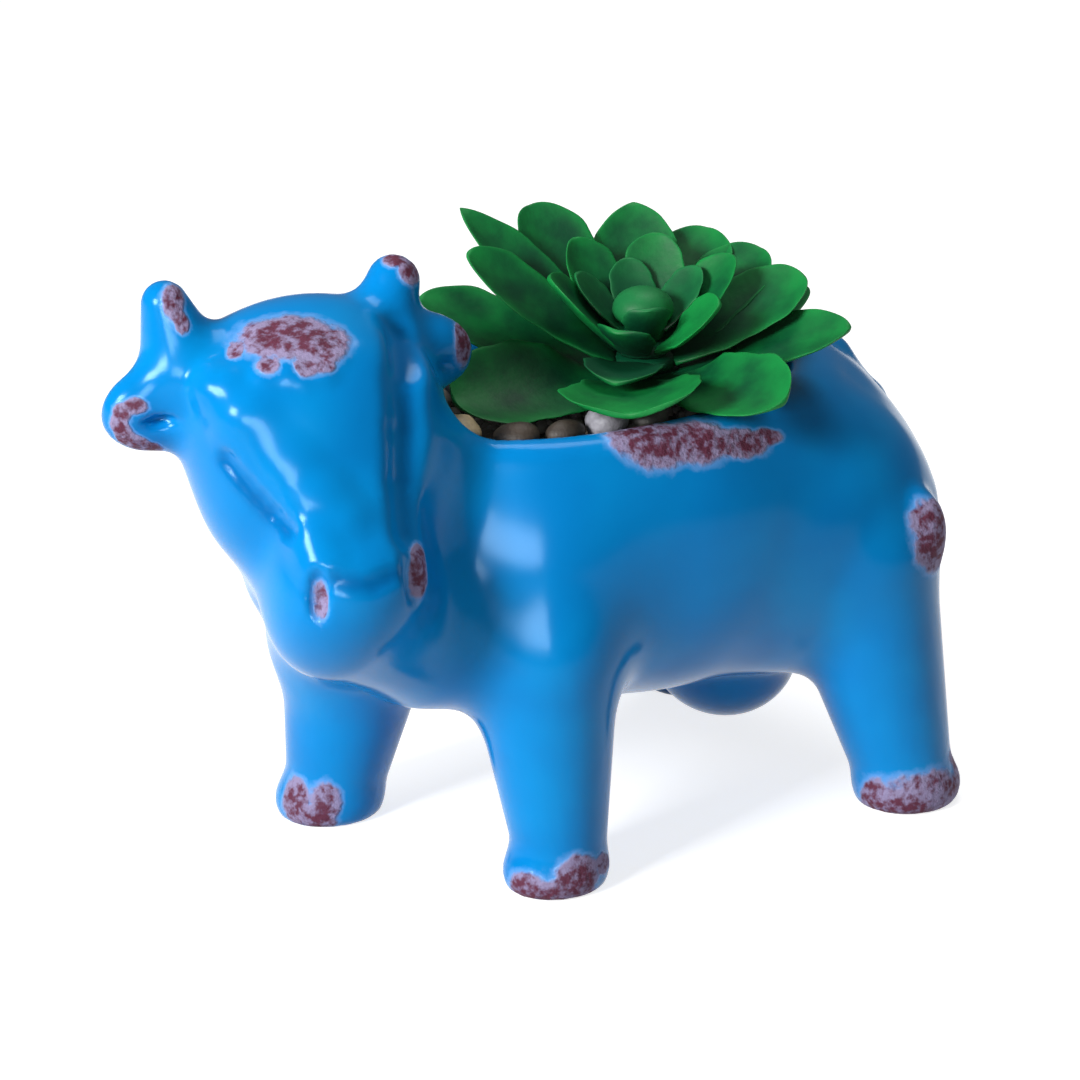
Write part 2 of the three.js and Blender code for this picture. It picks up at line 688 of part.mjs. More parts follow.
const group = new THREE.Group();
group.name = 'cow_planter';
group.add(meshOf('cow_pot', cowPot(), BLUE, 0.12));
group.add(meshOf('foam_block', foam(), FOAM_GREEN, 0.95));
group.add(meshOf('gravel_bed', gravel(), GRAVEL_GREY, 0.9));
PEBBLES.forEach((spec, i) => {
  const name = `pebble_${String(i + 1).padStart(2, '0')}`;
  group.add(meshOf(name, pebble(spec), spec.c, 0.7));
});
group.add(meshOf('stem', stem(), STEM_GREEN, 0.6));
for (const [name, spec] of Object.entries(WHORLS)) {
  group.add(meshOf(name, whorl(spec), spec.color, 0.45));
}
group.add(meshOf('bud', bud(), GREEN_BUD, 0.45));

// Move everything so that the origin is under the middle of the whole part
const box = new THREE.Box3().setFromObject(group);
const mid = box.getCenter(new THREE.Vector3());
for (const mesh of group.children) {
  mesh.geometry.translate(-mid.x, -mid.y, -box.min.z);
  mesh.geometry.computeVertexNormals();
}

export default group;
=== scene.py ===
# Cow planter: glazed ceramic cow, gravel and pebbles in its back, and an artificial succulent.
# Laid out as a Blender add-on and run as a script.
import math

import bpy
import numpy as np
from bpy.props import FloatProperty, FloatVectorProperty, IntProperty, PointerProperty
from bpy.types import Operator, Panel, PropertyGroup
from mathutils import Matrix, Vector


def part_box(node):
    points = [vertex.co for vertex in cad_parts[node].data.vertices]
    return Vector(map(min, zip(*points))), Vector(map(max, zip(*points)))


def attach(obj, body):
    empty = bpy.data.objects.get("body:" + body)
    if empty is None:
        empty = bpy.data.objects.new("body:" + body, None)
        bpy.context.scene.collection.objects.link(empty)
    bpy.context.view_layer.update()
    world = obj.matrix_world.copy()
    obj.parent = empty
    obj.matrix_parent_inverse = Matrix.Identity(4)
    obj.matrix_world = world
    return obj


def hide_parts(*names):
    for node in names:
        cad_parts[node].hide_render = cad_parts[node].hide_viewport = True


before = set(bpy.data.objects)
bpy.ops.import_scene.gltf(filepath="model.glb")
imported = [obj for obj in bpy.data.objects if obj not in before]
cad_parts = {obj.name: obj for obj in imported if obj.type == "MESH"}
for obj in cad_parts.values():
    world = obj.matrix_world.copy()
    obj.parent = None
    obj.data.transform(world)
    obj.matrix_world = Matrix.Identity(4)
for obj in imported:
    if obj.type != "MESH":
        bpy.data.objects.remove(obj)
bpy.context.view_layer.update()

bl_info = {
    "name": "Cow planter",
    "version": (1, 0, 0),
    "blender": (4, 5, 0),
    "location": "3D View > Sidebar > Planter",
    "description": "Builds a glazed ceramic cow planter with an artificial succulent",
    "category": "Add Mesh",
}

MM = 0.001

# Where the plant stands in the maker's own coordinates, which the shapes below use, in mm
PLANT = np.array([-4.0, -4.0])
STEM_LOW, STEM_HIGH = (np.array(corner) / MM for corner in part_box("stem"))
GROUND = 1.3
SHIFT = np.array([*((STEM_LOW + STEM_HIGH)[:2] / 2 - PLANT), -GROUND])

# Opening in the back, in mm
RIM_Z = 91.0
RIM_LEAN = 0.1
OPEN_X = -14.0
OPEN_A = 44.0
OPEN_B = 25.5
OPEN_N = 2.2
RIM_WALL = 4.6
LIP_ROLL = 3.2
GRAVEL_TOP = 84.5

# Head frame, in mm: turned to the cow's left
HEAD = np.array([-80.0, -1.0, 98.0])
HEAD_TURN = math.radians(80)
FORWARD = np.array([-math.cos(HEAD_TURN), -math.sin(HEAD_TURN), 0.0])
LEFT = np.array([math.sin(HEAD_TURN), -math.cos(HEAD_TURN), 0.0])
UP = np.array([0.0, 0.0, 1.0])
HEAD_AXES = np.array([FORWARD, LEFT, UP])

# Camera as in the photograph: its angles, distance and target in mm, the picture's width, the
# focal length and the target's place in it in pixels, and the sensor's width in mm
CAMERA_AZIMUTH = math.radians(-37)
CAMERA_HEIGHT = math.radians(20)
CAMERA_AWAY = 650.0
CAMERA_TARGET = np.array([0.0, 0.0, 50.0])
PIXELS = 1080
FOCAL_PIXELS = 3250.0
TARGET_PIXEL = (647.2, 554.5)
SENSOR = 36.0


def head_point(forward, left, up):
    """Point of the head frame, as centre plus forward, left and up steps."""
    return HEAD + FORWARD * forward + LEFT * left + UP * up


def view_axes():
    """The camera's axes: level to its right, up, and back from the object to the camera."""
    level = math.cos(CAMERA_HEIGHT)
    right = np.array([math.cos(CAMERA_AZIMUTH), math.sin(CAMERA_AZIMUTH), 0.0])
    back = np.array([math.sin(CAMERA_AZIMUTH) * level, -math.cos(CAMERA_AZIMUTH) * level,
                     math.sin(CAMERA_HEIGHT)])
    return np.array([right, np.cross(back, right), back])


# Small maths of the smooth field

def soft_min(a, b, k):
    """Lower of two distances, rounded by a parabola where they differ by less than k."""
    h = np.maximum(k - np.abs(a - b), 0) / k
    return np.minimum(a, b) - h * h * k * 0.25


def soft_max(a, b, k):
    """Higher of two distances, rounded in the same way."""
    return -soft_min(-a, -b, k)


def ball(p, centre, radii, axes=None):
    """Distance to an ellipsoid: k0 (k0 - 1) / k1, with k0 and k1 the lengths of p over r and r squared."""
    q = p - np.asarray(centre, float)
    if axes is not None:
        q = q @ np.asarray(axes).T
    radii = np.asarray(radii, float)
    a = q / radii
    k0 = np.sqrt((a * a).sum(-1))
    b = a / radii
    k1 = np.sqrt((b * b).sum(-1))
    return k0 * (k0 - 1) / np.maximum(k1, 1e-9)


def limb(p, a, b, ra, rb):
    """Distance to the hull of two balls: to the cone that touches both, or past its ends to the
    nearer ball."""
    a = np.asarray(a, float)
    ba = np.asarray(b, float) - a
    l2 = float(ba @ ba)
    rr = ra - rb
    a2 = l2 - rr * rr
    il2 = 1.0 / l2
    pa = p - a
    y = pa @ ba
    z = y - l2
    x = pa * l2 - y[..., None] * ba
    x2 = (x * x).sum(-1)
    y2 = y * y * l2
    z2 = z * z * l2
    k = np.sign(rr) * rr * rr * x2
    side = (np.sqrt(x2 * a2 * il2) + y * rr) * il2 - ra
    low = np.sqrt(x2 + y2) * il2 - ra
    high = np.sqrt(x2 + z2) * il2 - rb
    out = np.where(np.sign(y) * a2 * y2 < k, low, side)
    return np.where(np.sign(z) * a2 * z2 > k, high, out)


def oval_prism(p, half_length, half_width):
    """Rough distance to an upright prism round the opening: (r - 1) times 0.9 of the smaller half
    width, with r = (|x|^n + |y|^n)^(1/n) in half lengths and half widths."""
    x = np.abs(p[..., 0] - OPEN_X) / half_length
    y = np.abs(p[..., 1]) / half_width
    r = np.power(np.power(x, OPEN_N) + np.power(y, OPEN_N), 1 / OPEN_N)
    return (r - 1) * min(half_length, half_width) * 0.9


# The cow's forms, in mm

# Barrel and udder: centre and radii
BARREL = ((-1, 0, 61), (57, 40.5, 36))
UDDER = ((18.8, -1, 26.6), (15, 16, 14.5))
# Chest, haunches, line of the back, rump and the swelling round the opening: the form, its sizes
# and the join's width
TRUNK = (
    (ball, ((-40, -1, 59.5), (26, 35, 31.2)), 12),
    (ball, ((26, -18.2, 54.5), (29, 23.4, 28)), 9),
    (ball, ((26, 18.2, 54.5), (29, 23.4, 28)), 9),
    (limb, ((14, 0, 70), (36, -3, 65), 19, 17.5), 9),
    (limb, ((35, 0, 71), (38, -7, 60), 17.5, 19), 6),
    (ball, ((-12, 0, 73), (47, 35, 25)), 10),
)
# Height where the collar round the opening ends below
COLLAR_FOOT = 62.0
# Neck, two forms of the breast, and throat: two points, the radii there and the join's width
NECK = (
    ((-58, 0, 64), (-76, 0, 93), 22, 19, 9),
    ((-57, -2, 54.5), (-80, -7, 72), 17.3, 13, 8),
    ((-77, 0, 64), (-60, 21, 42), 12, 12.5, 9),
    (head_point(18.5, -1, -36), (-62, -12, 53), 11, 14.5, 8),
)
HEAD_JOIN = 13.0
# Inside: the egg's centre and radii, the opening's middle height and half height, the neck
HOLLOW_EGG = ((-3, 0, 60.5), (50, 34.5, 30))
OPEN_MIDDLE, OPEN_HALF = 82.5, 12.5
HOLLOW_NECK = ((-48, 0, 62), (-75, -1, 92), 13, 10)
# Legs: foot, top, the radii there and the join's width
LEGS = (
    ((-42.2, -28.7, 6), (-43.6, -25.5, 46), 8.5, 14.2, 8),
    ((-59, 26, 6), (-54, 21, 46), 9.4, 16, 8),
    ((36.2, -38.4, 6), (30, -28.4, 50), 9.5, 16.4, 5),
    ((40, 36, 6), (29, 27.5, 50), 9.5, 16.4, 5),
)
# Hooves: centre and radii
HOOVES = (
    ((-43.6, -28.5, 4.5), (10.2, 9.2, 7)),
    ((-60.3, 26, 4.5), (10.8, 10, 7)),
    ((36.4, -38.8, 4.5), (11, 10.2, 7)),
    ((39, 36, 4.5), (11, 10.2, 7)),
)
# Tail: points along it with the radius at each, and the centre and radii of its tuft
TAIL = (
    ((36, 2, 85.5), 4.5), ((46.5, 0.5, 82.5), 4.6), ((52.6, -4.5, 73.5), 4),
    ((53, -11.8, 64.8), 3.3), ((50.6, -20.6, 61.5), 3.3), ((44.8, -29.4, 61), 3.3))
TAIL_TUFT = ((38.2, -37.4, 57.6), (5.6, 6.2, 8.4))
# Ears: side, step to that side and step up from the middle of the head
EARS = ((1, 24.2, 4.2), (-1, 24.2, 1.2))
# Horns: root, tip and the radii there
HORNS = (
    (head_point(-3, 17, 8), head_point(-4, 21.0, 18.2), 7.0, 4.9),
    (head_point(-3, -20, 8), head_point(-4, -22.7, 19.4), 7.8, 4.2),
)


def ear_axes(side):
    """Ear frame: along the ear, across it to the back, and up."""
    along = LEFT * side - UP * 0.12
    along = along / np.linalg.norm(along)
    across = np.cross((UP + FORWARD * 0.18) / np.linalg.norm(UP + FORWARD * 0.18), along)
    across = across / np.linalg.norm(across)
    return np.array([along, across, np.cross(along, across)])


def body_field(p):
    """Trunk and rim collar, cut by the leaning rim plane, then legs, hooves, tail and udder."""
    d = ball(p, *BARREL)
    for form, form_sizes, k in TRUNK:
        d = soft_min(d, form(p, *form_sizes), k)
    collar = oval_prism(p, OPEN_A + RIM_WALL, OPEN_B + RIM_WALL)
    collar = soft_max(collar, COLLAR_FOOT - p[..., 2], 6)
    d = soft_min(d, collar, 7)
    d = soft_max(d, p[..., 2] - RIM_Z - RIM_LEAN * p[..., 1], 3)
    for foot, top, ra, rb, k in LEGS:
        d = soft_min(d, limb(p, foot, top, ra, rb), k)
    for centre, radii in HOOVES:
        d = soft_min(d, ball(p, centre, radii), 3)
    for (a, ra), (b, rb) in zip(TAIL, TAIL[1:]):
        d = soft_min(d, limb(p, a, b, ra, rb), 2.2)
    d = soft_min(d, ball(p, *TAIL_TUFT), 3)
    return soft_min(d, ball(p, *UDDER), 4)


# The face's axis, and its half width and half depth at the brow and at the nose, in mm
FACE_TOP = head_point(4.5, 0, -1)
FACE_END = head_point(25, -1, -27)
FACE_WIDE = (18.5, 10.2)
FACE_DEEP = (14.0, 10.4)


def face_wedge(p):
    """The face as a tapered block: in sections across its axis a superellipse |l / w|^3 + |m / h|^3,
    with half width w and half depth h shrinking evenly from brow to nose."""
    axis = FACE_END - FACE_TOP
    length = np.linalg.norm(axis)
    axis = axis / length
    front = np.cross(LEFT, axis)
    q = p - FACE_TOP
    s = q @ axis
    t = np.clip(s / length, -0.2, 1.2)
    w = FACE_WIDE[0] + (FACE_WIDE[1] - FACE_WIDE[0]) * t
    h = FACE_DEEP[0] + (FACE_DEEP[1] - FACE_DEEP[0]) * t
    r = (np.abs(q @ LEFT / w) ** 3 + np.abs(q @ front / h) ** 3) ** (1 / 3)
    d = (r - 1) * np.minimum(w, h)
    return soft_max(d, np.abs(s - length / 2) - length / 2 - 4, 8)


# Raised and sunk lines of the face: points, radius, how far the middle lies out of the
# surface point given, and the width of the join. A sunk line cuts. A scratch script worked these
# points, the curls' and the wear's out from places picked in the photograph, and many were then
# moved by hand.
RAISED = (
    (((-96.9, -15.9, 99.9), (-93.3, -21.3, 93.2), (-90.9, -25.9, 87.6), (-89, -29.3, 83.4)),
     7, -6.3, 2.5),
    (((-93.4, -28.4, 81.4), (-93.6, -31.4, 77.6)), 3.6, -3.1, 3.0),
    (((-100.2, -8.6, 105.4), (-98.6, -10, 105.6)), 4.2, -3.6, 2.4),
    (((-98.2, -13, 101.6), (-97.8, -13.4, 101.2)), 3.2, -2.7, 2.0),
)
SUNK = (
    (((-101.2, -10.6, 92.9), (-99.8, -14.8, 89.1), (-98.4, -16.8, 86.6), (-97, -18.7, 84.2),
      (-95.9, -22.4, 81.8)), 1.6, 1.8, 1.4),
    (((-62.2, -8.8, 109.4), (-68.6, -20.2, 103.9), (-70.6, -23.1, 95.7), (-72.9, -26.3, 87.7),
      (-75.2, -30.8, 80)), 2.6, 2.6, 4.0),
    (((-92.8, -33.6, 75.2), (-90.1, -35.3, 74.5), (-86.9, -36.3, 73.8), (-82.3, -36.2, 74.8)),
     1.6, 1.95, 1.8),
)
# Curls of hair on the forehead: their surface points, then their radii and the most they sink
CURLS = (
    (-93.4, -8.1, 109.2), (-92.3, -12.6, 108), (-89.2, -14.2, 108.4), (-86.9, -15.9, 107.8),
    (-83.8, -16.7, 108), (-80.9, -15.6, 109), (-90.6, -7.2, 111), (-87.1, -10.4, 110.9),
    (-83.2, -12.6, 110.9), (-79.4, -11.6, 111.6), (-88, -4.4, 112.5), (-84.2, -6.5, 112.7),
    (-80.8, -8.4, 112.7),
)
CURL_RADII = np.array([3.6, 3.4, 3.4])
CURL_DEPTH = 2.5
# Width of the join between two pieces of a line
LINE_JOIN = 1.0
# Nostrils: centre, and radii along the head's axes
NOSTRILS = (
    (head_point(32.6, -9.7, -25.5), (1.5, 1.7, 4.4)), (head_point(33.9, 8, -24.5), (1.6, 2.6, 5)))


def line_field(p, points, radius):
    """Rounded bar along a line of points, its pieces joined over LINE_JOIN."""
    d = limb(p, points[0], points[1], radius, radius)
    for a, b in zip(points[1:], points[2:]):
        d = soft_min(d, limb(p, a, b, radius, radius), LINE_JOIN)
    return d


def face_relief(p, d):
    """The cow with the nose ridge, brow, curls, creases and nostrils worked into its face."""
    near = (p[..., 0] < -52) & (p[..., 1] < 4) & (p[..., 2] > 55)
    q = p[near]
    e = d[near]
    toward = (FORWARD - 0.25 * LEFT) * 0.94 + UP * 0.34
    for points, radius, out, k in RAISED:
        e = soft_min(e, line_field(q, np.array(points) + toward * out, radius), k)
    for i, point in enumerate(CURLS):
        centre = np.array(point) + np.array([0, -0.35, 0.94]) * (-CURL_DEPTH + 0.35 * (i % 3))
        e = soft_min(e, ball(q, centre, CURL_RADII), 1.2)
    for points, radius, out, k in SUNK:
        e = soft_max(e, -line_field(q, np.array(points) + toward * out, radius), k)
    for centre, radii in NOSTRILS:
        e = soft_max(e, -ball(q, centre, np.array(radii), HEAD_AXES), 1.5)
    out = d.copy()
    out[near] = e
    return out


def head_field(p):
    """Skull, poll, face, muzzle, cheeks and brows, joined softly."""
    h = ball(p, head_point(-1, 0, -1), (19, 21.5, 15.4), HEAD_AXES)
    h = soft_min(h, limb(p, head_point(-2, -13, 7.6), head_point(-2, 13, 7.6), 6.2, 6.2), 6)
    h = soft_min(h, face_wedge(p), 8)
    h = soft_min(h, ball(p, head_point(26, -1.2, -28.5), (9.5, 11.2, 8.5), HEAD_AXES), 8)
    for s in (-1, 1):
        h = soft_min(h, ball(p, head_point(6, 13 * s, -12), (12, 7.6, 12), HEAD_AXES), 5)
        h = soft_min(h, ball(p, head_point(12, 14 * s, 3), (4.5, 5, 3.6), HEAD_AXES), 4)
    return h


def cow_field(p):
    """The whole outside of the cow, negative inside: every form joined softly to the body."""
    d = body_field(p)
    for low, high, r_low, r_high, k in NECK:
        d = soft_min(d, limb(p, low, high, r_low, r_high), k)
    d = soft_min(d, head_field(p), HEAD_JOIN)
    for side, left, up in EARS:
        axes = ear_axes(side)
        centre = head_point(-3, left * side, up)
        e = ball(p, centre, (11.5, 5.6, 8.4), axes)
        dish = centre - axes[0] * 1.0 - axes[1] * side * 6.4 - axes[2] * 0.2
        e = soft_max(e, -ball(p, dish, (7.4, 4, 1.6), axes), 1.8)
        d = soft_min(d, e, 4)
    for root, tip, r_root, r_tip in HORNS:
        d = soft_min(d, limb(p, root, tip, r_root, r_tip), 4)
    d = face_relief(p, d)
    return soft_max(d, GROUND - p[..., 2], 1.0)


def hollow_field(p):
    """The inside of the pot: an egg, the opening above it and a hollow neck."""
    d = ball(p, *HOLLOW_EGG)
    height = np.abs(p[..., 2] - OPEN_MIDDLE) - OPEN_HALF
    mouth = soft_max(oval_prism(p, OPEN_A, OPEN_B), height, 1)
    d = soft_min(d, mouth, 1)
    return soft_min(d, limb(p, *HOLLOW_NECK), 2)


def pot_field(p):
    """Ceramic: inside the cow and outside the hollow, with a rolled lip."""
    return soft_max(cow_field(p), -hollow_field(p), LIP_ROLL)


# Mesh making

def grid_lines(start, *stretches):
    """Grid lines from start: each stretch runs to its end in even steps of about its width."""
    out = [np.array([start])]
    for end, step in stretches:
        count = max(1, round((end - start) / step))
        out.append(start + (end - start) * np.arange(1, count + 1) / count)
        start = end
    return np.concatenate(out)


def skin_mesh(field, xs, ys, zs):
    """Closed quad mesh of a field's zero surface: one point in each crossed cell, at the mean of
    the crossings of its edges, and one quad round each crossed edge of the grid."""
    f = np.empty((len(xs), len(ys), len(zs)))
    for i, x in enumerate(xs):
        slab = np.stack(np.meshgrid([x], ys, zs, indexing="ij"), -1)
        f[i] = field(slab)[0]
    inside = f < 0
    nx, ny, nz = f.shape
    corners = [(i, j, k) for i in (0, 1) for j in (0, 1) for k in (0, 1)]
    total = sum(inside[i:nx - 1 + i, j:ny - 1 + j, k:nz - 1 + k].astype(int) for i, j, k in corners)
    ci, cj, ck = np.nonzero((total > 0) & (total < 8))
    cell = np.full((nx - 1, ny - 1, nz - 1), -1)
    cell[ci, cj, ck] = np.arange(len(ci))
    acc = np.zeros((len(ci), 3))
    count = np.zeros(len(ci))

    def corner(c):
        where = (ci + c[0], cj + c[1], ck + c[2])
        return f[where], np.stack([xs[where[0]], ys[where[1]], zs[where[2]]], -1)

    for a in corners:
        for b in corners:
            if sum(b) != sum(a) + 1 or any(v < u for u, v in zip(a, b)):
                continue
            fa, pa = corner(a)
            fb, pb = corner(b)
            crossed = (fa < 0) != (fb < 0)
            t = np.where(crossed, fa / np.where(crossed, fa - fb, 1), 0)
            acc += np.where(crossed[:, None], pa + (pb - pa) * t[:, None], 0)
            count += crossed
    quads = []
    around_x = ((0, 1, 1), (0, 0, 1), (0, 0, 0), (0, 1, 0))
    around_y = ((1, 0, 1), (1, 0, 0), (0, 0, 0), (0, 0, 1))
    around_z = ((1, 1, 0), (0, 1, 0), (0, 0, 0), (1, 0, 0))
    for axis, ring in enumerate((around_x, around_y, around_z)):
        low = [slice(1, -1)] * 3
        high = [slice(1, -1)] * 3
        low[axis] = slice(None, -1)
        high[axis] = slice(1, None)
        a = inside[tuple(low)]
        i, j, k = np.nonzero(a != inside[tuple(high)])
        at = [i + (axis != 0), j + (axis != 1), k + (axis != 2)]
        quad = np.stack([cell[at[0] - o[0], at[1] - o[1], at[2] - o[2]] for o in ring], -1)
        turned = ~inside[tuple(at)]
        quad[turned] = quad[turned][:, ::-1]
        quads.append(quad)
    return acc / count[:, None], np.concatenate(quads)


def field_slope(field, p):
    """Slope of a field by central differences over a step either way."""
    h = 0.05
    steps = np.eye(3) * h
    return np.stack([(field(p + s) - field(p - s)) / (2 * h) for s in steps], -1)


def settle(field, p, rounds):
    """Points moved onto the zero surface: p less the field times its slope g over g squared. The
    least g squared and the longest factor keep a step short where the slope is weak."""
    least = 0.05
    longest = 0.6
    for _ in range(rounds):
        g = field_slope(field, p)
        step = field(p) / np.maximum((g * g).sum(-1), least)
        p = p - np.clip(step, -longest, longest)[:, None] * g
    return p


def grid_faces(rows, cols, low, high):
    """Quads of a grid closed round its columns, with a fan to the end point at each end."""
    i, j = np.meshgrid(np.arange(rows - 1), np.arange(cols), indexing="ij")
    k = (j + 1) % cols
    quads = np.stack([i * cols + j, i * cols + k, (i + 1) * cols + k, (i + 1) * cols + j], -1)
    faces = quads.reshape(-1, 4).tolist()
    ring = np.arange(cols)
    after = (ring + 1) % cols
    last = (rows - 1) * cols
    faces += np.stack([np.full(cols, low), after, ring], -1).tolist()
    faces += np.stack([np.full(cols, high), last + ring, last + after], -1).tolist()
    return faces


def new_piece(name, verts, faces, material, body, replaced, attributes=()):
    """Object from points in the maker's mm, placed in the frame, smooth, on its body."""
    mesh = bpy.data.meshes.new(name)
    mesh.from_pydata(((np.asarray(verts) + SHIFT) * MM).tolist(), [], faces)
    mesh.polygons.foreach_set("use_smooth", np.ones(len(mesh.polygons), bool))
    for label, values in attributes:
        layer = mesh.attributes.new(label, "FLOAT", "POINT")
        layer.data.foreach_set("value", np.asarray(values, np.float32).ravel())
    mesh.update()
    piece = bpy.data.objects.new(name, mesh)
    bpy.context.scene.collection.objects.link(piece)
    piece.data.materials.append(material)
    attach(piece, body)
    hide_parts(*replaced)
    return piece


def joined(parts):
    """Several (points, faces, attributes) lists as one."""
    verts = []
    faces = []
    attrs = []
    start = 0
    for v, f, a in parts:
        verts.append(v)
        faces += [[n + start for n in face] for face in f]
        attrs.append(a)
        start += len(v)
    return np.concatenate(verts), faces, np.concatenate(attrs)


# Materials

def new_material(name):
    """Material with an empty Principled shader; returns it, its nodes, links and shader."""
    material = bpy.data.materials.new(name)
    material.use_nodes = True
    nodes = material.node_tree.nodes
    return material, nodes, material.node_tree.links, nodes["Principled BSDF"]


def maths(nodes, links, operation, a, b, clamp=False):
    """Math node on two sockets or numbers."""
    made = nodes.new("ShaderNodeMath")
    made.operation = operation
    made.use_clamp = clamp
    for socket, value in zip(made.inputs, (a, b)):
        if isinstance(value, (int, float)):
            socket.default_value = value
        else:
            links.new(value, socket)
    return made.outputs[0]


def ramp_between(nodes, links, value, low, high):
    """Smooth step of a socket between two levels."""
    made = nodes.new("ShaderNodeMapRange")
    made.interpolation_type = "SMOOTHSTEP"
    made.inputs["From Min"].default_value = low
    made.inputs["From Max"].default_value = high
    links.new(value, made.inputs["Value"])
    return made.outputs["Result"]


def mix_colour(nodes, links, factor, a, b):
    """Colour mix of two sockets or colours."""
    made = nodes.new("ShaderNodeMix")
    made.data_type = "RGBA"
    made.clamp_factor = True
    inputs = {s.identifier: s for s in made.inputs}
    for key, value in (("Factor_Float", factor), ("A_Color", a), ("B_Color", b)):
        if isinstance(value, (int, float)):
            inputs[key].default_value = value
        elif hasattr(value, "__len__"):
            inputs[key].default_value = (*tuple(value)[:3], 1)
        else:
            links.new(value, inputs[key])
    return next(s for s in made.outputs if s.identifier == "Result_Color")


def noise(nodes, links, coords, scale, detail, rough):
    """Noise in object space; scale is per metre."""
    made = nodes.new("ShaderNodeTexNoise")
    made.inputs["Scale"].default_value = scale
    made.inputs["Detail"].default_value = detail
    made.inputs["Roughness"].default_value = rough
    links.new(coords, made.inputs["Vector"])
    return made.outputs["Fac"]


def attribute(nodes, label):
    """Value of a point attribute."""
    made = nodes.new("ShaderNodeAttribute")
    made.attribute_name = label
    return made.outputs["Fac"]


def linear(colour):
    """Screen colour 0 to 255 as linear light."""
    c = np.asarray(colour, float) / 255
    return tuple(np.where(c <= 0.04045, c / 12.92, ((c + 0.055) / 1.055) ** 2.4))


def bumped(nodes, links, shader, height, distance, strength):
    """Bump of a height socket on a shader."""
    made = nodes.new("ShaderNodeBump")
    made.inputs["Distance"].default_value = distance
    made.inputs["Strength"].default_value = strength
    links.new(height, made.inputs["Height"])
    links.new(made.outputs["Normal"], shader.inputs["Normal"])


def glaze_material(colours):
    """Blue glaze, darkened along the grooves as painted shade, worn to pale and then dark clay."""
    material, nodes, links, shader = new_material("blue_glaze_worn")
    coords = nodes.new("ShaderNodeTexCoord").outputs["Object"]
    wear = attribute(nodes, "wear")
    ragged = noise(nodes, links, coords, 330, 3, 0.55)
    ragged = maths(nodes, links, "SUBTRACT", ragged, 0.5)
    edge = maths(nodes, links, "ADD", wear, maths(nodes, links, "MULTIPLY", ragged, 0.6))
    halo = ramp_between(nodes, links, edge, 0.14, 0.42)
    bare = ramp_between(nodes, links, edge, 0.36, 0.6)
    cloud = noise(nodes, links, coords, 45, 2, 0.5)
    thin = ramp_between(nodes, links, cloud, 0.35, 0.75)
    glaze = mix_colour(nodes, links, thin, colours.glaze_deep, colours.glaze)
    # Painted shade: the glaze is darkened along the sunk lines of the face
    groove_shade = maths(nodes, links, "MULTIPLY", attribute(nodes, "groove_shade"), 0.75)
    glaze = mix_colour(nodes, links, groove_shade, glaze, colours.glaze_groove_shade)
    blotch = noise(nodes, links, coords, 600, 2, 0.6)
    # Darker toward each worn patch's middle: partly the bare clay's own dark, partly painted shade,
    # deepened to stand in for the shade under the leaves at the rim
    blotch = maths(nodes, links, "ADD", blotch, maths(nodes, links, "MULTIPLY", wear, -0.42))
    blotch = ramp_between(nodes, links, blotch, 0.0, 0.32)
    clay = mix_colour(nodes, links, blotch, colours.clay_dark, colours.clay_pale)
    colour = mix_colour(nodes, links, halo, glaze, colours.halo)
    colour = mix_colour(nodes, links, bare, colour, clay)
    links.new(colour, shader.inputs["Base Color"])
    rough = maths(nodes, links, "MULTIPLY", bare, 0.42)
    links.new(maths(nodes, links, "ADD", rough, 0.18), shader.inputs["Roughness"])
    pits = noise(nodes, links, coords, 900, 3, 0.6)
    height = maths(nodes, links, "MULTIPLY", pits, bare)
    bumped(nodes, links, shader, height, 0.0006, 0.7)
    shader.inputs["IOR"].default_value = 1.3
    shader.inputs["Specular Tint"].default_value = (0.5, 0.75, 1, 1)
    return material


def leaf_material(name, deep, light):
    """Moulded leaf: deeper green at the foot, lighter along the edge and tip, softly clouded."""
    material, nodes, links, shader = new_material(name)
    coords = nodes.new("ShaderNodeTexCoord").outputs["Object"]
    tone = attribute(nodes, "tone")
    soft = noise(nodes, links, coords, 160, 3, 0.5)
    soft = maths(nodes, links, "SUBTRACT", soft, 0.5)
    tone = maths(nodes, links, "ADD", tone, soft)
    colour = mix_colour(nodes, links, ramp_between(nodes, links, tone, 0.05, 1.0), deep, light)
    links.new(colour, shader.inputs["Base Color"])
    shader.inputs["Roughness"].default_value = 0.5
    shader.inputs["Specular IOR Level"].default_value = 0.22
    fine = noise(nodes, links, coords, 700, 2, 0.5)
    bumped(nodes, links, shader, fine, 0.0003, 0.25)
    return material


def stone_material(name, colour):
    """Pebble: one colour with darker and lighter clouds and fine grain."""
    vary = 0.35
    material, nodes, links, shader = new_material(name)
    coords = nodes.new("ShaderNodeTexCoord").outputs["Object"]
    cloud = noise(nodes, links, coords, 260, 4, 0.6)
    dark = tuple(c * (1 - vary) for c in colour)
    light = tuple(min(1, c * (1 + vary)) for c in colour)
    mixed = mix_colour(nodes, links, ramp_between(nodes, links, cloud, 0.3, 0.7), dark, light)
    links.new(mixed, shader.inputs["Base Color"])
    shader.inputs["Roughness"].default_value = 0.55
    fine = noise(nodes, links, coords, 1500, 3, 0.6)
    bumped(nodes, links, shader, fine, 0.0004, 0.4)
    return material


def foam_material():
    """Dry florist's foam: dull green with fine open cells."""
    material, nodes, links, shader = new_material("foam_dry")
    coords = nodes.new("ShaderNodeTexCoord").outputs["Object"]
    cells = nodes.new("ShaderNodeTexVoronoi")
    cells.inputs["Scale"].default_value = 900.0
    links.new(coords, cells.inputs["Vector"])
    colour = mix_colour(nodes, links, cells.outputs["Distance"], (0.05, 0.1, 0.05), (0.1, 0.19, 0.09))
    links.new(colour, shader.inputs["Base Color"])
    shader.inputs["Roughness"].default_value = 0.9
    bumped(nodes, links, shader, cells.outputs["Distance"], 0.0005, 0.5)
    return material


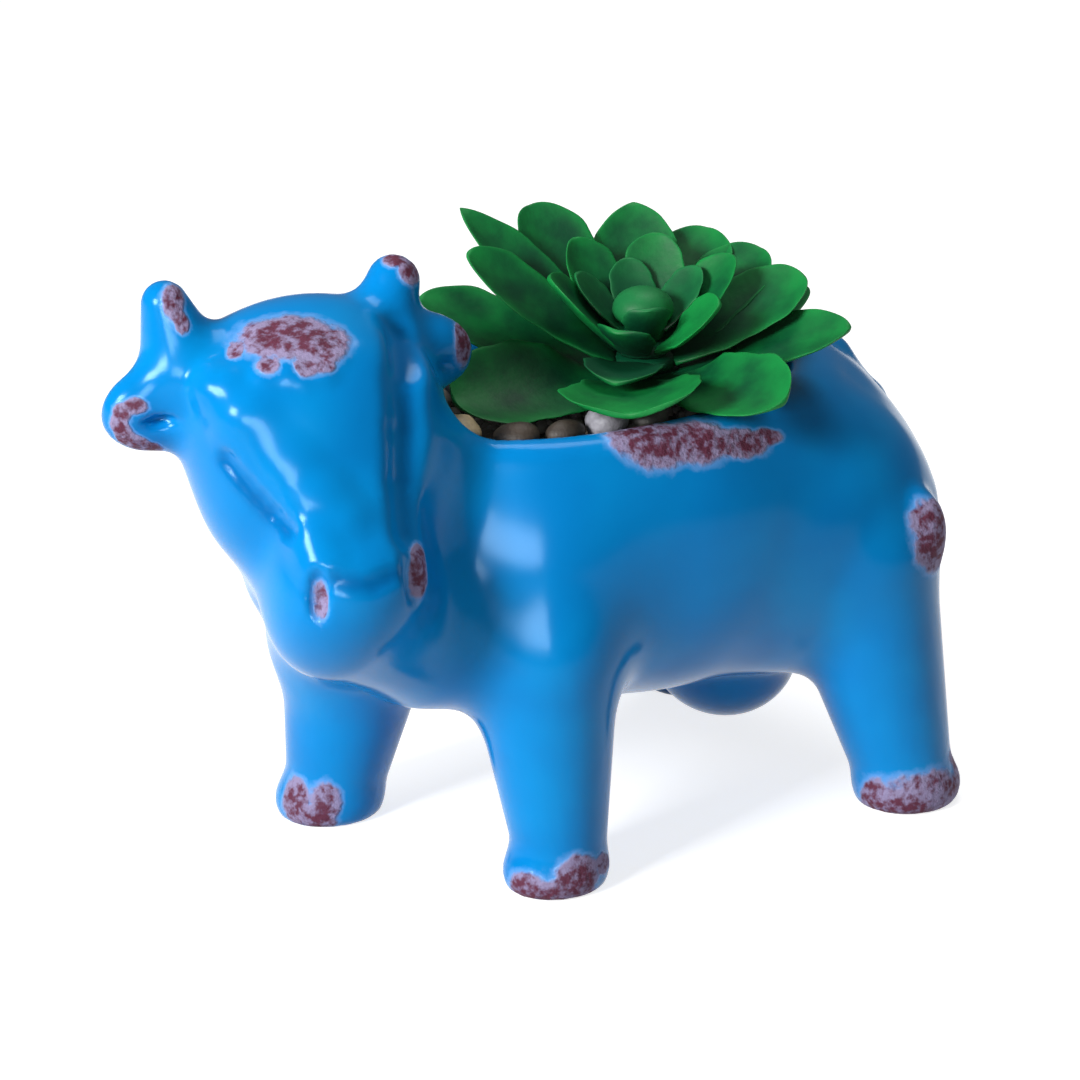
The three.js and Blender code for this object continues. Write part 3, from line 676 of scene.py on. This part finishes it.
# Wear: centre of each rubbed place, found as the points of the face were, and its reach along the
# camera's axes, in mm
WEAR_AXES = view_axes()
WEAR = (
    ((-102.2, 2.8, 119), (2, 3.2, 5)), ((-101.6, 1, 115), (1.2, 1.9, 4)),
    ((-59.6, -2.6, 121.2), (2.3, 1.8, 4)), ((-57.4, -4.6, 118.8), (2.2, 2.4, 4)),
    ((-47.7, -7, 104.4), (1.8, 4.6, 4)),
    ((-86.2, -9, 112.1), (8.8, 4.4, 9)), ((-82.4, -12.6, 111), (5.6, 4, 7)),
    ((-92.1, -12.3, 108.4), (2.4, 1.9, 3)), ((-86.9, -15.6, 108.2), (2.2, 2, 3)),
    ((-83.7, -16.6, 108.2), (2.2, 2, 3)), ((-94.3, -5, 109.7), (1.7, 2.3, 3)),
    ((-110.8, 2.8, 101.4), (2.2, 1.5, 4)), ((-112.8, 4, 100.2), (1.7, 1.8, 4)),
    ((-113.3, 4.6, 97.8), (1.6, 2, 4)), ((-112, 4.9, 95.2), (1.8, 1.8, 4)),
    ((-109.6, 4.6, 93.4), (2.2, 1.5, 4)), ((-107, 4.4, 92.2), (1.8, 1.3, 4)),
    ((-95.4, -32, 71.4), (1.5, 3.8, 3)), ((-76.2, -34.2, 73), (1.9, 4.4, 4)),
    ((-75.6, -33.6, 76), (1.6, 2.6, 4)),
    ((-22.6, -31.4, 86.6), (8.4, 5.4, 6)), ((-13.5, -34, 85.4), (6.4, 4.4, 6)),
    ((-4, -35.6, 83.4), (6, 2.8, 6)), ((2.4, -35.2, 83.4), (3, 1.6, 5)),
    ((-69.6, 23, 6.4), (3, 5, 5)), ((-66.6, 17, 7.2), (3.2, 4.4, 4)), ((-68, 18, 4), (4, 3, 5)),
    ((-52.4, -31.6, 3), (3.6, 4, 5)), ((-47, -37, 3), (8, 2.6, 6)),
    ((-44.6, -37.8, 6.4), (4.6, 4, 5)), ((-37.6, -37.8, 7), (2.6, 2.2, 4)),
    ((30, -45, 2.6), (9, 3.6, 10)), ((36.4, -42, 4.6), (10, 4.8, 10)), ((44, -41, 7), (4, 5.4, 7)),
    ((26.6, -40.6, 4.6), (3, 4, 5)),
    ((39, -39.6, 59.6), (5, 4.8, 9)), ((38.6, -40, 54.6), (4.6, 4.8, 9)),
    ((-34, 27, 92.6), (8, 2, 5)),
)


def wear_amount(p):
    """Highest of the rubbed places: 1 in the middle, 0.5 at the reach, 0 at 1.5 times it."""
    out = np.zeros(len(p))
    for centre, reach in WEAR:
        r = np.sqrt((((p - np.array(centre)) @ WEAR_AXES.T / np.array(reach)) ** 2).sum(-1))
        out = np.maximum(out, np.clip(1.5 - r, 0, 1))
    return out


def groove_shade_amount(p):
    """Painted shade along the sunk lines: 1 on a line's points, falling as exp(-(r / 1.5)^2) with the
    distance r in mm.
    """
    near = np.full(len(p), np.inf)
    for points, *_ in SUNK:
        near = np.minimum(near, np.abs(line_field(p, points, 0.01)))
    return np.exp(-(near / 1.5) ** 2)


class PlanterSizes(PropertyGroup):
    """Sizes of the fine surfaces."""

    fine_step: FloatProperty(
        name="Fine step", description="Grid step of the head", default=0.95 * MM, unit="LENGTH")
    step: FloatProperty(
        name="Step", description="Grid step of the body", default=1.35 * MM, unit="LENGTH")
    leaf_rows: IntProperty(name="Leaf rows", description="Rows along a leaf", default=30)
    leaf_cols: IntProperty(name="Leaf columns", description="Columns round a leaf", default=32)
    grit_count: IntProperty(name="Grit", description="Grains glued on the crust", default=260)


def colour_property(name, description, colour):
    """Colour property from a screen colour."""
    return FloatVectorProperty(
        name=name, description=description, subtype="COLOR", size=3, min=0, max=1,
        default=linear(colour))


class PlanterColours(PropertyGroup):
    """Colours, in linear light."""

    glaze: colour_property("Glaze", "Blue glaze", (2, 138, 208))
    glaze_deep: colour_property("Deep glaze", "Glaze where it is thick", (2, 126, 198))
    # Painted shade: darker blue laid along the face's grooves
    glaze_groove_shade: colour_property("Painted groove shade", "Glaze darkened along a groove as painted shade", (0, 92, 158))
    halo: colour_property("Halo", "Thin glaze round a worn patch", (88, 152, 218))
    clay_dark: colour_property("Dark clay", "Dark part of a worn patch", (96, 44, 62))
    clay_pale: colour_property("Pale clay", "Pale part of a worn patch", (146, 134, 168))
    leaf_deep: colour_property("Deep leaf", "Leaf green in the shade", (0, 66, 40))
    leaf_light: colour_property("Light leaf", "Leaf green at the edge", (12, 130, 58))
    leaf_heart: colour_property("Heart leaf", "Youngest leaves", (24, 118, 62))


# Grid that the cow is meshed on: its corners, and where the fine steps of the head end, in mm
GRID_LOW = (-119.5, -54.3, -3.1)
GRID_HIGH = (66, 54, 128)
FINE_BEFORE = -57
FINE_ABOVE = 62


class PLANTER_OT_cow(Operator):
    """Glazed ceramic cow with the opening in its back"""

    bl_idname = "planter.cow"
    bl_label = "Ceramic cow"

    def execute(self, context):
        sizes = context.scene.planter_sizes
        fine = sizes.fine_step / MM
        step = sizes.step / MM
        xs = grid_lines(GRID_LOW[0], (FINE_BEFORE, fine), (GRID_HIGH[0], step))
        ys = grid_lines(GRID_LOW[1], (GRID_HIGH[1], step))
        zs = grid_lines(GRID_LOW[2], (FINE_ABOVE, step), (GRID_HIGH[2], fine))
        verts, quads = skin_mesh(pot_field, xs, ys, zs)
        verts = settle(pot_field, verts, 3)
        # groove_shade holds the painted shade along the face's sunk lines
        attributes = [("wear", wear_amount(verts)), ("groove_shade", groove_shade_amount(verts))]
        new_piece(
            "cow_glazed", verts, quads.tolist(), glaze_material(context.scene.planter_colours),
            "planter", ["cow_pot"], attributes)
        return {"FINISHED"}


# Pebbles: place as fractions of the opening's half sizes, radii in mm, turn in degrees and screen
# colour
PEBBLES = (
    (-0.818, -0.314, (4.6, 4.2, 3.4), 20, (200, 178, 140)),
    # The next two are dark brown stones, darkened further as painted shade for the shade they lie in
    (-0.648, -0.643, (4.4, 3.4, 3), -30, (62, 50, 38)),
    (-0.441, -0.737, (4.2, 3, 2.6), 10, (66, 56, 48)),
    (-0.232, -0.761, (4.4, 3.6, 3.4), -12, (138, 136, 144)),
    (-0.018, -0.8, (4.2, 3, 2.4), 8, (84, 80, 74)),
    (0.418, -0.706, (4.8, 3.4, 2.8), 12, (150, 145, 137)),
    (0.705, -0.51, (4.6, 3.6, 3), 38, (184, 172, 148)),
    (0.827, -0.078, (3.6, 4.8, 3), 10, (132, 124, 112)),
    (0.718, 0.392, (4.6, 3.8, 3.2), -36, (200, 197, 190)),
    (0.432, 0.643, (5, 3.8, 3.2), -8, (119, 105, 90)),
    (-0.102, 0.686, (7.4, 5, 6.4), -6, (168, 138, 132)),
    (-0.409, 0.643, (4.6, 3.8, 3.2), 14, (180, 171, 156)),
    (-0.659, 0.471, (4.8, 3.8, 3), 30, (138, 133, 125)),
    (-0.845, 0.102, (3.6, 4.4, 3), 5, (157, 143, 120)),
)


# Height of a pebble's middle over the crust, as a share of its upright radius
PEBBLE_SEAT = 0.86
# Crust, in mm: gap to the wall, drop of its mean top below the gravel's, height of its bumps,
# thickness at the edge, the pit that the stem stands in, and no grain nearer than this to its middle
CRUST_GAP = 0.4
CRUST_DROP = 0.8
CRUST_BUMP = 0.6
CRUST_THICK = 5.0
PIT_DEPTH = 4.2
PIT_RADIUS = 2.4
GRAIN_CLEAR = 4.5


def waves(p, seed, count=5, reach=0.35):
    """Smooth bumps: the mean of a few sine waves of random direction and phase."""
    rng = np.random.default_rng(seed)
    out = np.zeros(len(p))
    for _ in range(count):
        way = rng.normal(size=3)
        out += np.sin(p @ way * reach + rng.uniform(0, 6.28))
    return out / count


def stone(centre, radii, turn, seed, rows=14, cols=22, rough=0.1):
    """Ellipsoid by latitude and longitude, squashed at the poles and swelled by smooth waves."""
    v = np.pi * (np.arange(rows) + 1) / (rows + 1)
    a = 2 * np.pi * np.arange(cols) / cols
    v, a = np.meshgrid(v, a, indexing="ij")
    unit = np.stack([np.sin(v) * np.cos(a), np.sin(v) * np.sin(a), -np.cos(v)], -1).reshape(-1, 3)
    unit = np.vstack([unit, [[0, 0, -1], [0, 0, 1]]])
    swell = 1 + rough * waves(unit * 6, seed)
    p = unit * swell[:, None] * np.asarray(radii)
    c, s = math.cos(math.radians(turn)), math.sin(math.radians(turn))
    p = p @ np.array([[c, s, 0], [-s, c, 0], [0, 0, 1]])
    faces = grid_faces(rows, cols, rows * cols, rows * cols + 1)
    return p + np.asarray(centre), faces


class PLANTER_OT_filling(Operator):
    """Foam, gravel crust and pebbles"""

    bl_idname = "planter.filling"
    bl_label = "Filling"

    def execute(self, context):
        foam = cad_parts["foam_block"]
        foam.data.materials.clear()
        foam.data.materials.append(foam_material())
        self.crust(context.scene.planter_sizes.grit_count)
        for i, (u, v, radii, turn, colour) in enumerate(PEBBLES):
            name = f"pebble_{i + 1:02d}"
            centre = (OPEN_X + u * OPEN_A, v * OPEN_B, GRAVEL_TOP + radii[2] * PEBBLE_SEAT)
            verts, faces = stone(centre, radii, turn, i + 3)
            new_piece(name + "_smooth", verts, faces, stone_material(name + "_stone", linear(colour)),
                      "planter", [name])
        return {"FINISHED"}

    def crust(self, count):
        """Plate in rings of the opening's superellipse, with a bumpy top in which grains of grit
        are set, sunk by PIT_DEPTH / (1 + (r / PIT_RADIUS)^8) at a distance r from the stem."""
        rings = 44
        cols = 90
        a = 2 * np.pi * np.arange(cols) / cols
        r = np.arange(1, rings + 1) / rings
        r, a = np.meshgrid(r, a, indexing="ij")
        power = 2 / OPEN_N
        x = OPEN_X + r * (OPEN_A - CRUST_GAP) * np.sign(np.cos(a)) * np.abs(np.cos(a)) ** power
        y = r * (OPEN_B - CRUST_GAP) * np.sign(np.sin(a)) * np.abs(np.sin(a)) ** power
        level = GRAVEL_TOP - CRUST_DROP
        top = np.stack([x, y, np.full_like(x, level)], -1).reshape(-1, 3)
        top[:, 2] += CRUST_BUMP * waves(top, 11, 9, 0.9)
        away = np.hypot(*(top[:, :2] - PLANT).T)
        top[:, 2] -= PIT_DEPTH / (1 + (away / PIT_RADIUS) ** 8)
        under = top[-cols:] - [0, 0, CRUST_THICK]
        verts = np.vstack([top, under, [[OPEN_X, 0, level], [OPEN_X, 0, GRAVEL_TOP - 6]]])
        faces = grid_faces(rings + 1, cols, len(verts) - 2, len(verts) - 1)
        faces = [face[::-1] for face in faces]
        parts = [(verts, faces, np.zeros(len(verts)))]
        rng = np.random.default_rng(5)
        for i in range(count):
            t = rng.uniform(0, 2 * np.pi)
            q = math.sqrt(rng.uniform(0, 1)) * 0.95
            size = rng.uniform(0.9, 1.9)
            place = (OPEN_X + q * (OPEN_A - 2) * math.cos(t), q * (OPEN_B - 2) * math.sin(t),
                     GRAVEL_TOP - 0.5)
            radii = size * rng.uniform(0.7, 1.2, 3)
            v, f = stone(place, radii, rng.uniform(0, 360), 100 + i, 5, 7, 0.16)
            tint = rng.uniform(0, 1)
            if math.dist(place[:2], PLANT) > GRAIN_CLEAR:
                parts.append((v, f, np.full(len(v), tint)))
        verts, faces, tint = joined(parts)
        new_piece("gravel_crust", verts, faces, self.grit_material(), "planter",
                  ["gravel_bed"], [("tint", tint)])

    def grit_material(self):
        """Grit: each grain has its own grey to brown tint."""
        material, nodes, links, shader = new_material("grit")
        coords = nodes.new("ShaderNodeTexCoord").outputs["Object"]
        tint = attribute(nodes, "tint")
        colour = mix_colour(nodes, links, tint, linear((62, 52, 42)), linear((168, 160, 148)))
        cloud = noise(nodes, links, coords, 700, 3, 0.6)
        colour = mix_colour(nodes, links, maths(nodes, links, "MULTIPLY", cloud, 0.5), colour,
                            linear((70, 60, 52)))
        links.new(colour, shader.inputs["Base Color"])
        shader.inputs["Roughness"].default_value = 0.75
        return material


# Whorls: hub height, hub radius, leaf thickness, cup, and the leaves. Leaves: direction seen from
# above, counted from the photograph's right, climb at foot and tip, length, width, roll, the power
# that rounds the tip (low is blunt) and the painted light or shade: how much lighter or darker than the
# others the leaf is coloured, standing in for light on lit leaves and shade on shaded ones
VIEW = -36.87
HUB_H = 2.6
PLANT_Z = 88.0
HUB_STEP = 2.9
WHORLS = {
    "leaf_whorl_outer": (PLANT_Z, 7.4, 2.6, 0.3, (
        (178, 13, 31, 40, 27, -18, 0.62, 0), (213, 4, 1, 36, 28, -33, 0.5, 0),
        (266, 9, -1.3, 26, 31, 5, 0.22, 0.15), (314, 5.5, 4.5, 31.5, 25, 28, 0.5, 0.1),
        (353, 14, 22, 35.5, 24, 19, 0.62, 0), (30, 16, 28, 33.5, 24, 9.6, 0.62, -0.1),
        (76, 16, 30, 32, 24, 0, 0.62, -0.1), (124, 17, 32, 33, 24, -8, 0.62, -0.1))),
    "leaf_whorl_middle": (PLANT_Z + HUB_STEP, 6.3, 2.4, 0.3, (
        (184, 33, 43, 36, 18.5, -30, 0.55, 0), (166, 38, 46, 42, 19, -24, 0.85, -0.05),
        (140, 43, 52, 35.5, 22.5, -14, 0.5, -0.05), (94, 45, 52, 33, 27, 0, 0.8, 0),
        (64, 36, 43, 31, 23, 9.6, 0.55, 0), (40, 31, 38, 30.5, 23, 16, 0.55, -0.05),
        (15, 23, 33, 31, 23, 24, 0.55, 0), (256, 12, 0, 17, 21, -2, 0.5, -0.45))),
    "leaf_whorl_inner": (PLANT_Z + 2 * HUB_STEP, 5.2, 2.2, 0.3, (
        (328, 34, 46, 17, 15, 34, 0.5, 0.35), (196, 40, 52, 21, 16, -16, 0.55, 0),
        (140, 48, 60, 23, 18, -8, 0.62, 0), (80, 52, 62, 22, 18, 4, 0.62, 0),
        (24, 40, 54, 22, 17, 14, 0.62, 0.05), (250, 26, 40, 12.5, 16, -6, 0.5, -0.3))),
    "leaf_whorl_heart": (PLANT_Z + 3 * HUB_STEP, 4.1, 2.0, 0.25, (
        (168, 36, 58, 15, 13, -8, 0.62, 0), (106, 43, 67, 14.5, 13, 0, 0.62, 0),
        (36, 36, 58, 15, 13, 8, 0.62, 0), (276, 34, 62, 9.5, 13, 4, 0.5, -0.1))),
}


def leaf(spec, hub_z, hub_r, thick, cup, rows, cols):
    """Cupped blade. Along it the spine climbs at an angle that changes evenly from foot to tip.
    Its half width is w(t) = wide / 2 (0.4 (1 - t)^2 + 1.24 t^0.9 (1 - t^2.4)^tip), with a slight wave
    along each edge. Across it, with s from -1 to 1, the middle surface rises by cup w s^2, less
    near the foot, and the section is rolled about the spine."""
    way, climb0, climb1, length, wide, roll, tip, shade = spec
    az = math.radians(VIEW + way)
    fine = 120
    foot_inside = 0.9
    last_row = 0.9995
    edge_wave = 0.035
    slope = np.radians(climb0 + (climb1 - climb0) * (np.arange(fine) + 0.5) / fine)
    run = np.concatenate([[0], np.cumsum(np.cos(slope))]) * length / fine + hub_r - foot_inside
    rise = np.concatenate([[0], np.cumsum(np.sin(slope))]) * length / fine + hub_z + HUB_H / 2
    t = np.sin(np.pi / 2 * np.linspace(0, 1, rows + 1)[:-1]) ** 1.1
    t = t * last_row
    r = np.interp(t, np.linspace(0, 1, fine + 1), run)
    z = np.interp(t, np.linspace(0, 1, fine + 1), rise)
    e = np.radians(climb0 + (climb1 - climb0) * t)
    w = wide / 2 * (0.4 * (1 - t) ** 2 + 1.24 * t ** 0.9 * (1 - t ** 2.4) ** tip)
    grown = np.minimum(1, t / 0.34)
    a = -2 * np.pi * np.arange(cols) / cols
    s = np.cos(a)[None, :]
    half_thick = thick / 2 * (1 - 0.55 * t) * np.minimum(1, w / thick * 1.4)
    plump = half_thick[:, None] * np.sin(a)[None, :]
    wave = np.sin(13 * t[:, None] + way + 2 * np.sign(s)) + 0.6 * np.sin(29 * t[:, None] + 2 * way)
    w = w[:, None] * (1 + edge_wave * wave * s * s)
    bend = cup * grown[:, None] * w * s * s + plump
    turn = np.radians(roll) * grown[:, None]
    lift = bend * np.cos(turn) - w * s * np.sin(turn)
    across = -w * s * np.cos(turn) - bend * np.sin(turn)
    out = r[:, None] - np.sin(e)[:, None] * lift
    high = z[:, None] + np.cos(e)[:, None] * lift
    x = PLANT[0] + out * math.cos(az) - across * math.sin(az)
    y = PLANT[1] + out * math.sin(az) + across * math.cos(az)
    verts = np.stack([x, y, high], -1).reshape(-1, 3)
    ends = [(run[0], rise[0]), (run[-1], rise[-1])]
    tips = [[PLANT[0] + q * math.cos(az), PLANT[1] + q * math.sin(az), h] for q, h in ends]
    verts = np.vstack([verts, tips])
    faces = grid_faces(rows, cols, rows * cols, rows * cols + 1)
    rim = np.maximum(np.abs(s) ** 6, t[:, None] ** 12)
    # shade is painted light or shade: it lightens lit leaves and darkens shaded ones
    tone = 0.2 + 0.3 * t[:, None] + 0.4 * rim + shade
    return verts, faces, np.concatenate([tone.ravel(), [0.2, 1.0]])


def turned(profile, cols, tone):
    """Body turned about the plant's axis: a ring of radius r at height z for each pair (r, z) of
    the profile, listed from the bottom, and closed by a point at each end."""
    profile = np.asarray(profile, float)
    a = 2 * np.pi * np.arange(cols) / cols
    x = PLANT[0] + profile[:, :1] * np.cos(a)
    y = PLANT[1] + profile[:, :1] * np.sin(a)
    z = np.repeat(profile[:, 1:], cols, axis=1)
    verts = np.stack([x, y, z], -1).reshape(-1, 3)
    verts = np.vstack([verts, [[*PLANT, profile[0, 1]], [*PLANT, profile[-1, 1]]]])
    rows = len(profile)
    faces = grid_faces(rows, cols, rows * cols, rows * cols + 1)
    return verts, faces, np.full(len(verts), tone)


class PLANTER_OT_succulent(Operator):
    """Artificial succulent: stem, four whorls of leaves and bud"""

    bl_idname = "planter.succulent"
    bl_label = "Succulent"

    def execute(self, context):
        sizes = context.scene.planter_sizes
        colours = context.scene.planter_colours
        material = leaf_material("leaf_satin", tuple(colours.leaf_deep), tuple(colours.leaf_light))
        heart = leaf_material("leaf_satin_heart", tuple(colours.leaf_deep), tuple(colours.leaf_heart))
        for name, (hub_z, hub_r, thick, cup, leaves) in WHORLS.items():
            hub = [(hub_r * 0.9, hub_z), (hub_r, hub_z + 0.6), (hub_r, hub_z + HUB_H - 0.6),
                   (hub_r * 0.9, hub_z + HUB_H)]
            # The hub gets the darkest tone as painted shade, so that it reads as the shaded heart of the
            # rosette
            parts = [turned(hub, 32, 0.1)]
            for spec in leaves:
                parts.append(leaf(spec, hub_z, hub_r, thick, cup, sizes.leaf_rows, sizes.leaf_cols))
            verts, faces, tone = joined(parts)
            new_piece(name + "_moulded", verts, faces, heart if "heart" in name else material,
                      "succulent", [name], [("tone", tone)])
        # Bud: 3.2 mm in radius at the foot, 6 mm at its widest, and closed in a round top
        bud_z = PLANT_Z + 4 * HUB_STEP
        a = np.radians(np.linspace(-90, 90, 15))[:-1]
        wide = np.where(a < 0, 3.2 + 2.8 * np.cos(a) ** 1.5, 6 * np.cos(a) ** 0.9)
        profile = np.stack([wide, bud_z + 2.8 + np.where(a < 0, 2.8, 4.4) * np.sin(a)], -1)
        verts, faces, tone = turned(profile, 32, 0.8)
        new_piece("bud_moulded", verts, faces, heart, "succulent", ["bud"],
                  [("tone", tone)])
        # Stem: a blunt point, the shaft, the collar that stands on the gravel, and the shaft again
        low = STEM_LOW[2] - SHIFT[2]
        base = GRAVEL_TOP + 0.05
        shape = [(0.4, low), (1.4, low + 2), (2, low + 5), (2, base), (5.4, base), (6, base + 0.6),
                 (6, base + 2.5), (5.4, base + 3.1), (2, base + 3.1), (2, STEM_HIGH[2] - SHIFT[2])]
        verts, faces, tone = turned(shape, 32, 0.1)
        new_piece("stem_moulded", verts, faces, material, "succulent", ["stem"],
                  [("tone", tone)])
        return {"FINISHED"}


# Stage
# Name, place and aim in metres, width and height, watts, and whether it lights matt surfaces
LAMPS = (
    ("key", (-0.96, -0.16, 0.54), (0, 0, 0.05), 0.3, 0.3, 15.0, True),
    ("top", (0.25, 0.16, 1.1), (0, 0, 0.05), 0.5, 0.5, 4.4, True),
    ("window", (-0.63, -0.72, 0.345), (0, 0, 0.06), 0.66, 0.24, 9.0, False),
)
WORLD_LEVEL = 0.15
FLOOR_REACH = 3.0
FLOOR_GREY = 0.6
FLOOR_GLOW = 0.78


class PLANTER_OT_stage(Operator):
    """Floor, world, lamps and camera"""

    bl_idname = "planter.stage"
    bl_label = "Studio"

    def execute(self, context):
        self.floor()
        self.world(context.scene)
        self.lamps()
        self.camera(context.scene)
        context.scene.view_settings.view_transform = "Standard"
        return {"FINISHED"}

    def floor(self):
        """Pale floor, white where the camera or a gloss sees it, that keeps the shadow."""
        mesh = bpy.data.meshes.new("floor")
        s = FLOOR_REACH
        mesh.from_pydata([(-s, -s, 0), (s, -s, 0), (s, s, 0), (-s, s, 0)], [], [(0, 1, 2, 3)])
        floor = bpy.data.objects.new("floor", mesh)
        bpy.context.scene.collection.objects.link(floor)
        material, nodes, links, shader = new_material("floor_pale")
        shader.inputs["Base Color"].default_value = (FLOOR_GREY, FLOOR_GREY, FLOOR_GREY, 1)
        shader.inputs["Roughness"].default_value = 0.8
        shader.inputs["Specular IOR Level"].default_value = 0.0
        shader.inputs["Emission Color"].default_value = (1, 1, 1, 1)
        glow = maths(nodes, links, "MULTIPLY", self.seen(nodes, links), FLOOR_GLOW)
        links.new(glow, shader.inputs["Emission Strength"])
        floor.data.materials.append(material)

    def seen(self, nodes, links):
        """1 for rays from the camera and for those seen in a gloss or through glass, else 0."""
        path = nodes.new("ShaderNodeLightPath")
        rays = maths(nodes, links, "ADD", path.outputs["Is Camera Ray"], path.outputs["Is Glossy Ray"])
        return maths(nodes, links, "ADD", rays, path.outputs["Is Transmission Ray"], clamp=True)

    def world(self, scene):
        """Even pale world."""
        world = bpy.data.worlds.new("studio")
        scene.world = world
        world.use_nodes = True
        back = world.node_tree.nodes["Background"]
        back.inputs["Color"].default_value = (1, 1, 1, 1)
        back.inputs["Strength"].default_value = WORLD_LEVEL

    def lamps(self):
        """Soft boxes: a key on the cow's front, one overhead, and one that only the gloss shows."""
        for name, place, aim, size, size_y, watts, lights in LAMPS:
            lamp = bpy.data.lights.new(name, "AREA")
            lamp.shape = "RECTANGLE"
            lamp.size = size
            lamp.size_y = size_y
            lamp.energy = watts
            obj = bpy.data.objects.new(name, lamp)
            bpy.context.scene.collection.objects.link(obj)
            obj.visible_diffuse = lights
            obj.location = place
            way = np.array(aim) - np.array(place)
            obj.rotation_euler = direction_angles(way)

    def camera(self, scene):
        """Camera at the photograph's angle; the shift puts the target on its pixel."""
        back = view_axes()[2]
        data = bpy.data.cameras.new("view")
        data.sensor_width = SENSOR
        data.lens = FOCAL_PIXELS * SENSOR / PIXELS
        data.shift_x = (PIXELS / 2 - TARGET_PIXEL[0]) / PIXELS
        data.shift_y = (TARGET_PIXEL[1] - PIXELS / 2) / PIXELS
        data.clip_start = 0.01
        obj = bpy.data.objects.new("view", data)
        scene.collection.objects.link(obj)
        obj.location = (CAMERA_TARGET + SHIFT) * MM + back * CAMERA_AWAY * MM
        obj.rotation_euler = (math.pi / 2 - CAMERA_HEIGHT, 0, CAMERA_AZIMUTH)
        scene.camera = obj


def direction_angles(way):
    """Euler angles that point an object's -Z along a direction."""
    x, y, z = way / np.linalg.norm(way)
    return (math.acos(-z), 0, math.atan2(y, x) - math.pi / 2)


class PLANTER_PT_panel(Panel):
    """Buttons for the planter's pieces"""

    bl_label = "Cow planter"
    bl_idname = "PLANTER_PT_panel"
    bl_space_type = "VIEW_3D"
    bl_region_type = "UI"
    bl_category = "Planter"

    def draw(self, context):
        for operator in OPERATORS:
            self.layout.operator(operator.bl_idname)
        for group in (context.scene.planter_sizes, context.scene.planter_colours):
            for key in group.bl_rna.properties.keys():
                if key not in ("rna_type", "name"):
                    self.layout.prop(group, key)


OPERATORS = (PLANTER_OT_cow, PLANTER_OT_filling, PLANTER_OT_succulent, PLANTER_OT_stage)
CLASSES = (PlanterSizes, PlanterColours, *OPERATORS, PLANTER_PT_panel)


def register():
    """Register the classes and the scene's two groups of properties."""
    for cls in CLASSES:
        bpy.utils.register_class(cls)
    bpy.types.Scene.planter_sizes = PointerProperty(type=PlanterSizes)
    bpy.types.Scene.planter_colours = PointerProperty(type=PlanterColours)


def unregister():
    """Undo register."""
    del bpy.types.Scene.planter_colours
    del bpy.types.Scene.planter_sizes
    for cls in reversed(CLASSES):
        bpy.utils.unregister_class(cls)


def main():
    register()
    bpy.ops.planter.cow()
    bpy.ops.planter.filling()
    bpy.ops.planter.succulent()
    bpy.ops.planter.stage()


if __name__ == "__main__":
    main()
